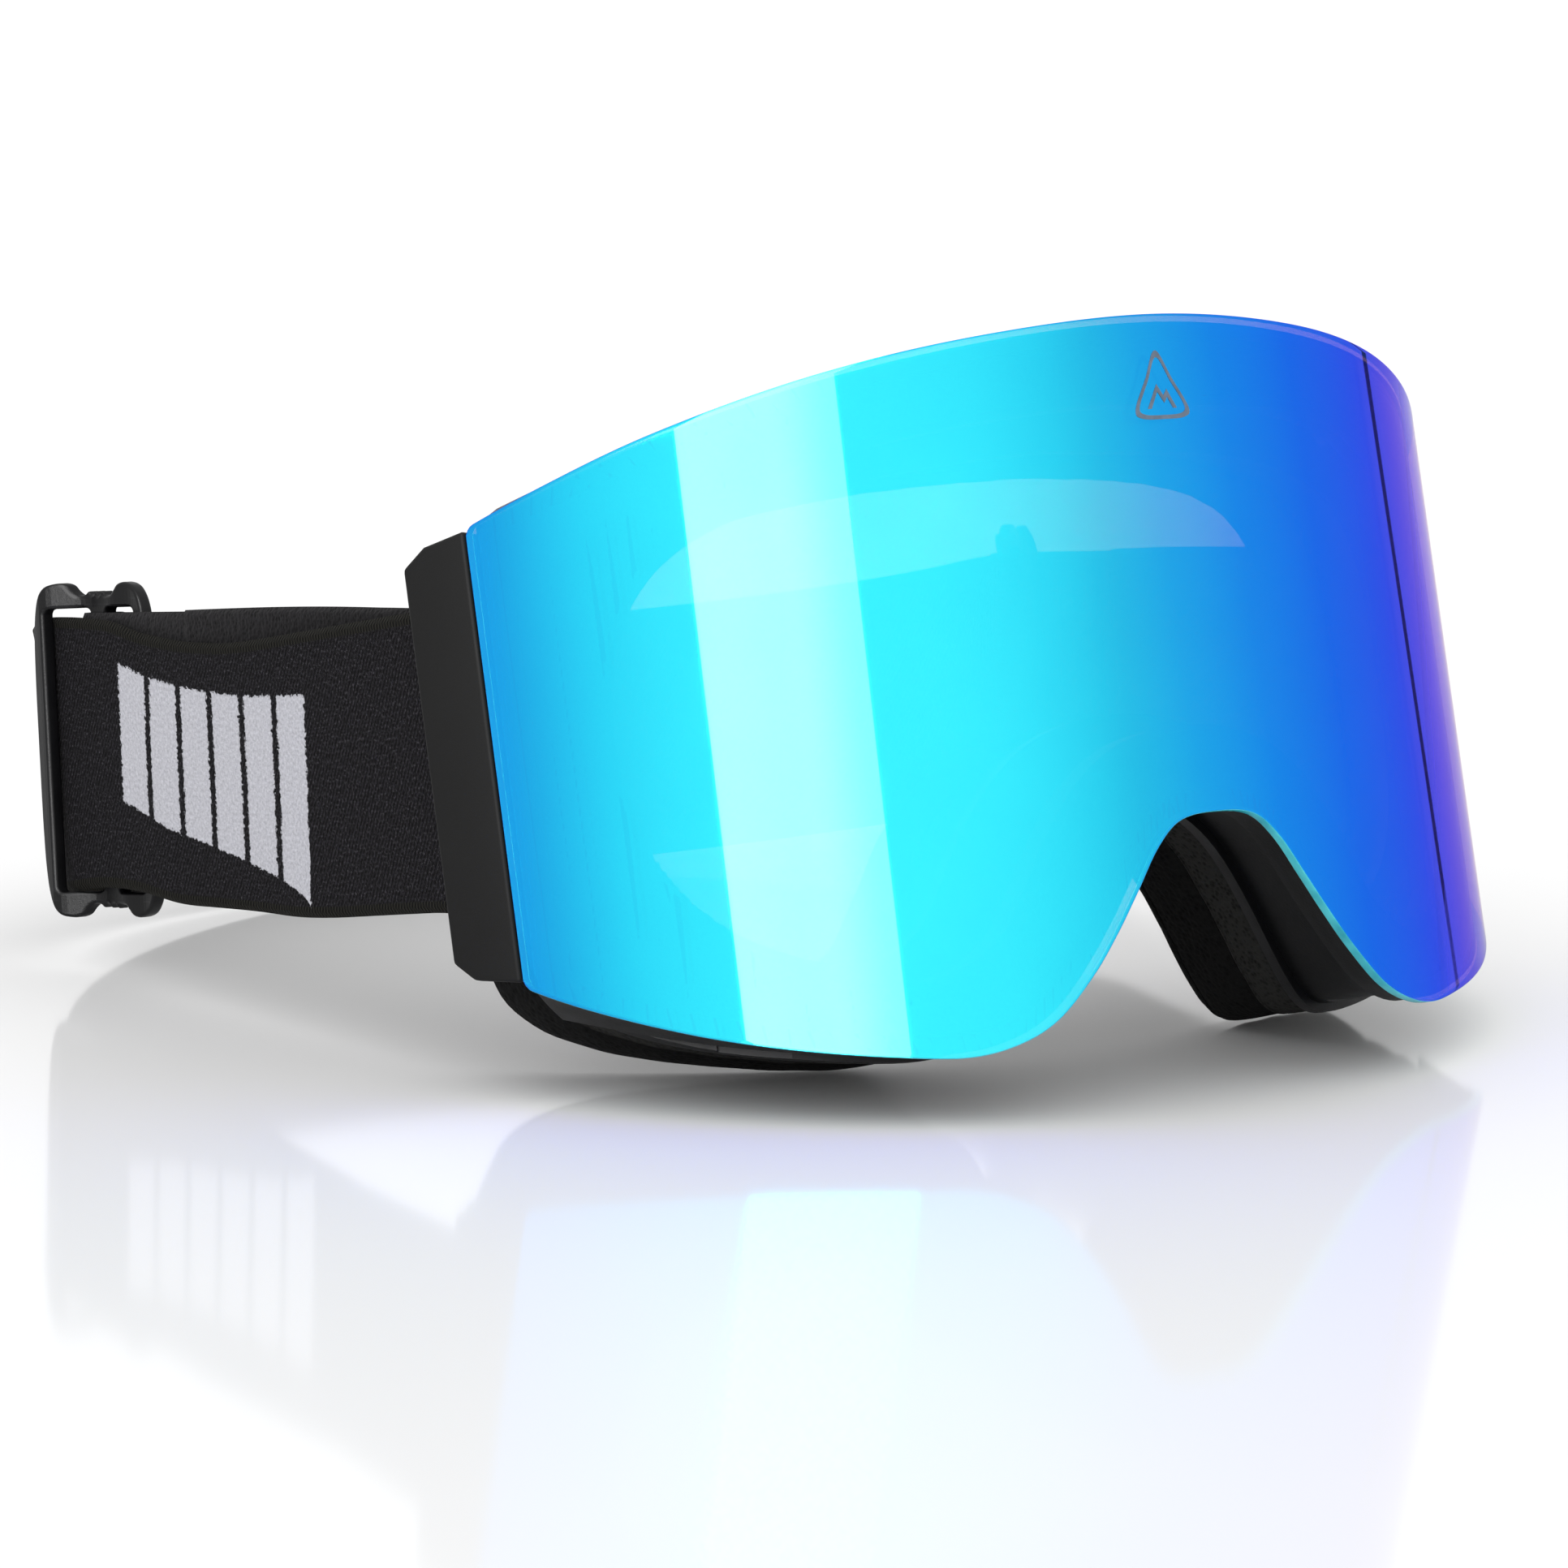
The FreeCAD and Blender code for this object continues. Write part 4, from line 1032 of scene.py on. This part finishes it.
def slider_frame(tag, side):
    """Ladder slider: a rounded frame with two windows, horns and small teeth at both ends."""
    top = smooth_line(SLIDER_TOP, 0.22)
    outline = np.vstack([top, np.stack([top[-2:0:-1, 0], -top[-2:0:-1, 1]], 1)])
    soft = 0.5
    curve = bpy.data.curves.new("slider_outline_" + tag, "CURVE")
    curve.dimensions = "2D"
    curve.fill_mode = "BOTH"
    curve.extrude = HALF_RAIL - soft
    curve.bevel_depth = soft
    curve.bevel_resolution = 3
    curve.offset = -soft
    for loop in [outline] + [rounded_box(*ends, WINDOW_HALF_HEIGHT, 0.9) for ends in WINDOWS]:
        spline = curve.splines.new("POLY")
        spline.points.add(len(loop) - 1)
        for point, (along, up) in zip(spline.points, loop):
            point.co = (along, up, 0.0, 1.0)
        spline.use_cyclic_u = True
    flat = bpy.data.objects.new("slider_flat_" + tag, curve)
    bpy.context.collection.objects.link(flat)
    mesh = bpy.data.meshes.new_from_object(flat.evaluated_get(bpy.context.evaluated_depsgraph_get()))
    bpy.data.objects.remove(flat)
    bpy.data.curves.remove(curve)
    work = bmesh.new()
    work.from_mesh(mesh)
    bmesh.ops.remove_doubles(work, verts=work.verts, dist=1e-4)
    for along in np.arange(-9.9, 10.0, 0.6):
        parts = work.verts[:] + work.edges[:] + work.faces[:]
        bmesh.ops.bisect_plane(work, geom=parts, dist=1e-5, plane_co=(along, 0, 0), plane_no=(1, 0, 0))
    knots = np.arange(-10.5, 10.51, 0.3)
    bend = running_mean(np.interp(knots, RAIL_ALONG, RAIL_OUT), 3)
    for face in work.faces:
        face.smooth = abs(face.normal.z) < 0.999
    for vertex in work.verts:
        along, up, across = vertex.co
        out = float(np.interp(along, knots, bend)) + across
        vertex.co = Vector(place_one(*slider_point(side, out, along, up)))
    bmesh.ops.recalc_face_normals(work, faces=work.faces)
    work.to_mesh(mesh)
    work.free()
    piece = bpy.data.objects.new("buckle_" + tag, mesh)
    bpy.context.collection.objects.link(piece)
    finish_piece(piece, "slider_%s_body" % tag, "slider_black", ["slider_" + tag], smooth=False)


def sewn_end(tag, side):
    """Strap end folded round the slider's middle bar, with its sewn tail."""
    path = smooth_line(SEWN_PATH, 0.5)
    normal = plan_normals(path)
    rows = 22
    share = strap_rows(rows)
    half = np.maximum(ply_half(share, 0.55, 0.5), 0.12)
    length = run_length(path)
    points, uvs = [], []
    for i, (out, along) in enumerate(path):
        for sign, order in ((1, range(rows)), (-1, range(rows - 1, -1, -1))):
            for k in order:
                o, a = (out, along) + normal[i] * sign * half[k]
                points.append(slider_point(side, o, a, share[k] * 19.9))
                uvs.append((length[i], share[k] * HALF_WEB))
    piece = mesh_object("strap_end_fold_" + tag, place(points), tube_faces(len(path), 2 * rows), uvs)
    finish_piece(piece, "slider_%s_body" % tag, "strap_elastic", ["strap_end_" + tag], PILE)


STITCH_LENGTH = 1.6
STITCH_PITCH = 2.1
THREAD_RADIUS = 0.15
TAIL_FACE = -1.27


def stitches(tag, side):
    """Three rows across the tail and one along each side, each stitch a small loop of thread."""
    rings, sides = 7, 6
    runs = []
    for along in (-23.0, -18.5, -14.5):
        runs += [(along, up, False) for up in np.arange(-17.5, 17.6, STITCH_PITCH)]
    for up in (-18.4, 18.4):
        runs += [(along, up, True) for along in np.arange(-22.0, -14.9, STITCH_PITCH)]
    vertices, faces = [], []
    for along, up, lengthwise in runs:
        start = len(vertices)
        for t in np.linspace(0, 1, rings):
            reach = (t - 0.5) * STITCH_LENGTH
            lift = 0.14 * math.sin(math.pi * t) + 0.02
            radius = THREAD_RADIUS * (0.55 + 0.45 * math.sin(math.pi * t))
            for angle in np.arange(sides) * 2 * math.pi / sides:
                cross = radius * math.cos(angle)
                rise = lift + radius * math.sin(angle)
                a = along + (reach if lengthwise else cross)
                u = up + (cross if lengthwise else reach)
                vertices.append(slider_point(side, TAIL_FACE - rise, a, u))
        faces += [tuple(start + f for f in face) for face in tube_faces(rings, sides)]
    piece = mesh_object("stitches_" + tag, place(vertices), faces)
    finish_piece(piece, "slider_%s_body" % tag, "strap_elastic", material=THREAD)


for tag, side in (("right", -1), ("left", 1)):
    strap_return(tag, side)
    slider_frame(tag, side)
    sewn_end(tag, side)
    stitches(tag, side)

# ---------------------------------------------------------------- floor, light and camera


def stage_floor():
    """Pale, faintly glossy floor, well past the camera's view."""
    reach = 12.0
    corners = [(-reach, -reach, 0), (reach, -reach, 0), (reach, reach, 0), (-reach, reach, 0)]
    mesh = bpy.data.meshes.new("floor")
    mesh.from_pydata(corners, [], [(0, 1, 2, 3)])
    floor = bpy.data.objects.new("floor", mesh)
    bpy.context.collection.objects.link(floor)
    material, tree, shader = new_material("floor_pale")
    shader.inputs["Specular IOR Level"].default_value = 0.05
    cloud = ramp(tree, noise(tree, 3.0, 2.0), [(0.3, (0.92, 0.92, 0.92)), (0.7, (0.94, 0.94, 0.94))])
    tree.links.new(cloud, shader.inputs["Base Color"])
    shader.inputs["Roughness"].default_value = 0.08
    floor.data.materials.append(material)


def area_light(name, location, target, width, height, radiance, profile):
    """Rectangular softbox; radiance is what a mirror shows of it, and profile how it varies across."""
    data = bpy.data.lights.new(name, "AREA")
    data.shape = "RECTANGLE"
    data.size = width
    data.size_y = height
    data.energy = radiance * math.pi * width * height
    data.use_nodes = True
    tree = data.node_tree
    glow = tree.nodes["Emission"]
    across = tree.nodes.new("ShaderNodeSeparateXYZ")
    tree.links.new(tree.nodes.new("ShaderNodeNewGeometry").outputs["Parametric"], across.inputs[0])
    stops = [(at, (level, level, level)) for at, level in profile]
    shade = ramp(tree, across.outputs[0], stops, smooth=True)
    tree.links.new(shade, glow.inputs["Strength"])
    light = bpy.data.objects.new(name, data)
    light.location = location
    light.rotation_euler = (Vector(target) - Vector(location)).to_track_quat("-Z", "Y").to_euler()
    light.visible_diffuse = False
    bpy.context.collection.objects.link(light)


stage_floor()
world = bpy.data.worlds.new("studio")
bpy.context.scene.world = world
world.use_nodes = True
backdrop = world.node_tree.nodes["Background"]
backdrop.inputs["Color"].default_value = (1.0, 1.0, 1.0, 1.0)
backdrop.inputs["Strength"].default_value = 1.12

camera_at = Vector((-0.4277, -0.68374, 0.14394))
azimuth = math.radians(32.12)
elevation = math.radians(8.20)
looking = Vector((
    math.sin(azimuth) * math.cos(elevation),
    math.cos(azimuth) * math.cos(elevation),
    -math.sin(elevation),
))


def mirror_spot(u, z, reach):
    """Where a ray from the camera lands after meeting the lens at a point."""
    point = place(on_lens(np.array([u]), z, LENS_R))[0]
    inside = place([[0.0, LENS_R, z]])[0]
    normal = Vector(point - inside).normalized()
    ray = (Vector(point) - camera_at).normalized()
    bounced = ray - 2 * ray.dot(normal) * normal
    return Vector(point) + bounced * reach


def softbox_for(name, u_low, u_high, reach, height, radiance, profile):
    """Upright softbox whose reflection fills the lens between two distances."""
    first = mirror_spot(u_low, 0.0, reach)
    second = mirror_spot(u_high, 0.0, reach)
    target = place_one((u_low + u_high) / 2, 10.0, 0.0)
    area_light(name, (first + second) / 2, target, (first - second).length, height, radiance, profile)


softbox_for("strip_softbox", -65.5, -45.0, 1.1, 2.4, 15.0, [(0.0, 1.0), (0.55, 0.85), (1.0, 0.45)])
softbox_for("strip_halo", -92.0, -10.0, 1.4, 3.0, 0.30, [(0.0, 0.0), (0.42, 1.0), (0.62, 1.0), (1.0, 0.0)])


def dark_flag():
    """Narrow upright card whose reflection draws the dark line near the lens's left side."""
    edges = [mirror_spot(u, 0.0, 1.0) for u in (45.7, 47.0)]
    points = [(*edge.xy, height) for height in (-0.3, 2.0) for edge in edges]
    mesh = bpy.data.meshes.new("flag")
    mesh.from_pydata(points, [], [(0, 1, 3, 2)])
    flag = bpy.data.objects.new("flag", mesh)
    bpy.context.collection.objects.link(flag)
    material, tree, shader = new_material("flag_cloth")
    shade = ramp(tree, noise(tree, 300.0), [(0.3, (0.05, 0.05, 0.05)), (0.7, (0.10, 0.10, 0.10))])
    tree.links.new(shade, shader.inputs["Base Color"])
    flag.data.materials.append(material)
    flag.visible_camera = False
    flag.visible_diffuse = False
    flag.visible_shadow = False


dark_flag()

camera_data = bpy.data.cameras.new("photo_camera")
camera_data.sensor_width = 36.0
camera_data.lens = 129.64
camera_data.clip_start = 0.01
camera = bpy.data.objects.new("photo_camera", camera_data)
camera.location = camera_at
camera.rotation_euler = looking.to_track_quat("-Z", "Y").to_euler()
bpy.context.collection.objects.link(camera)
bpy.context.scene.camera = camera
bpy.context.scene.view_settings.view_transform = "Standard"
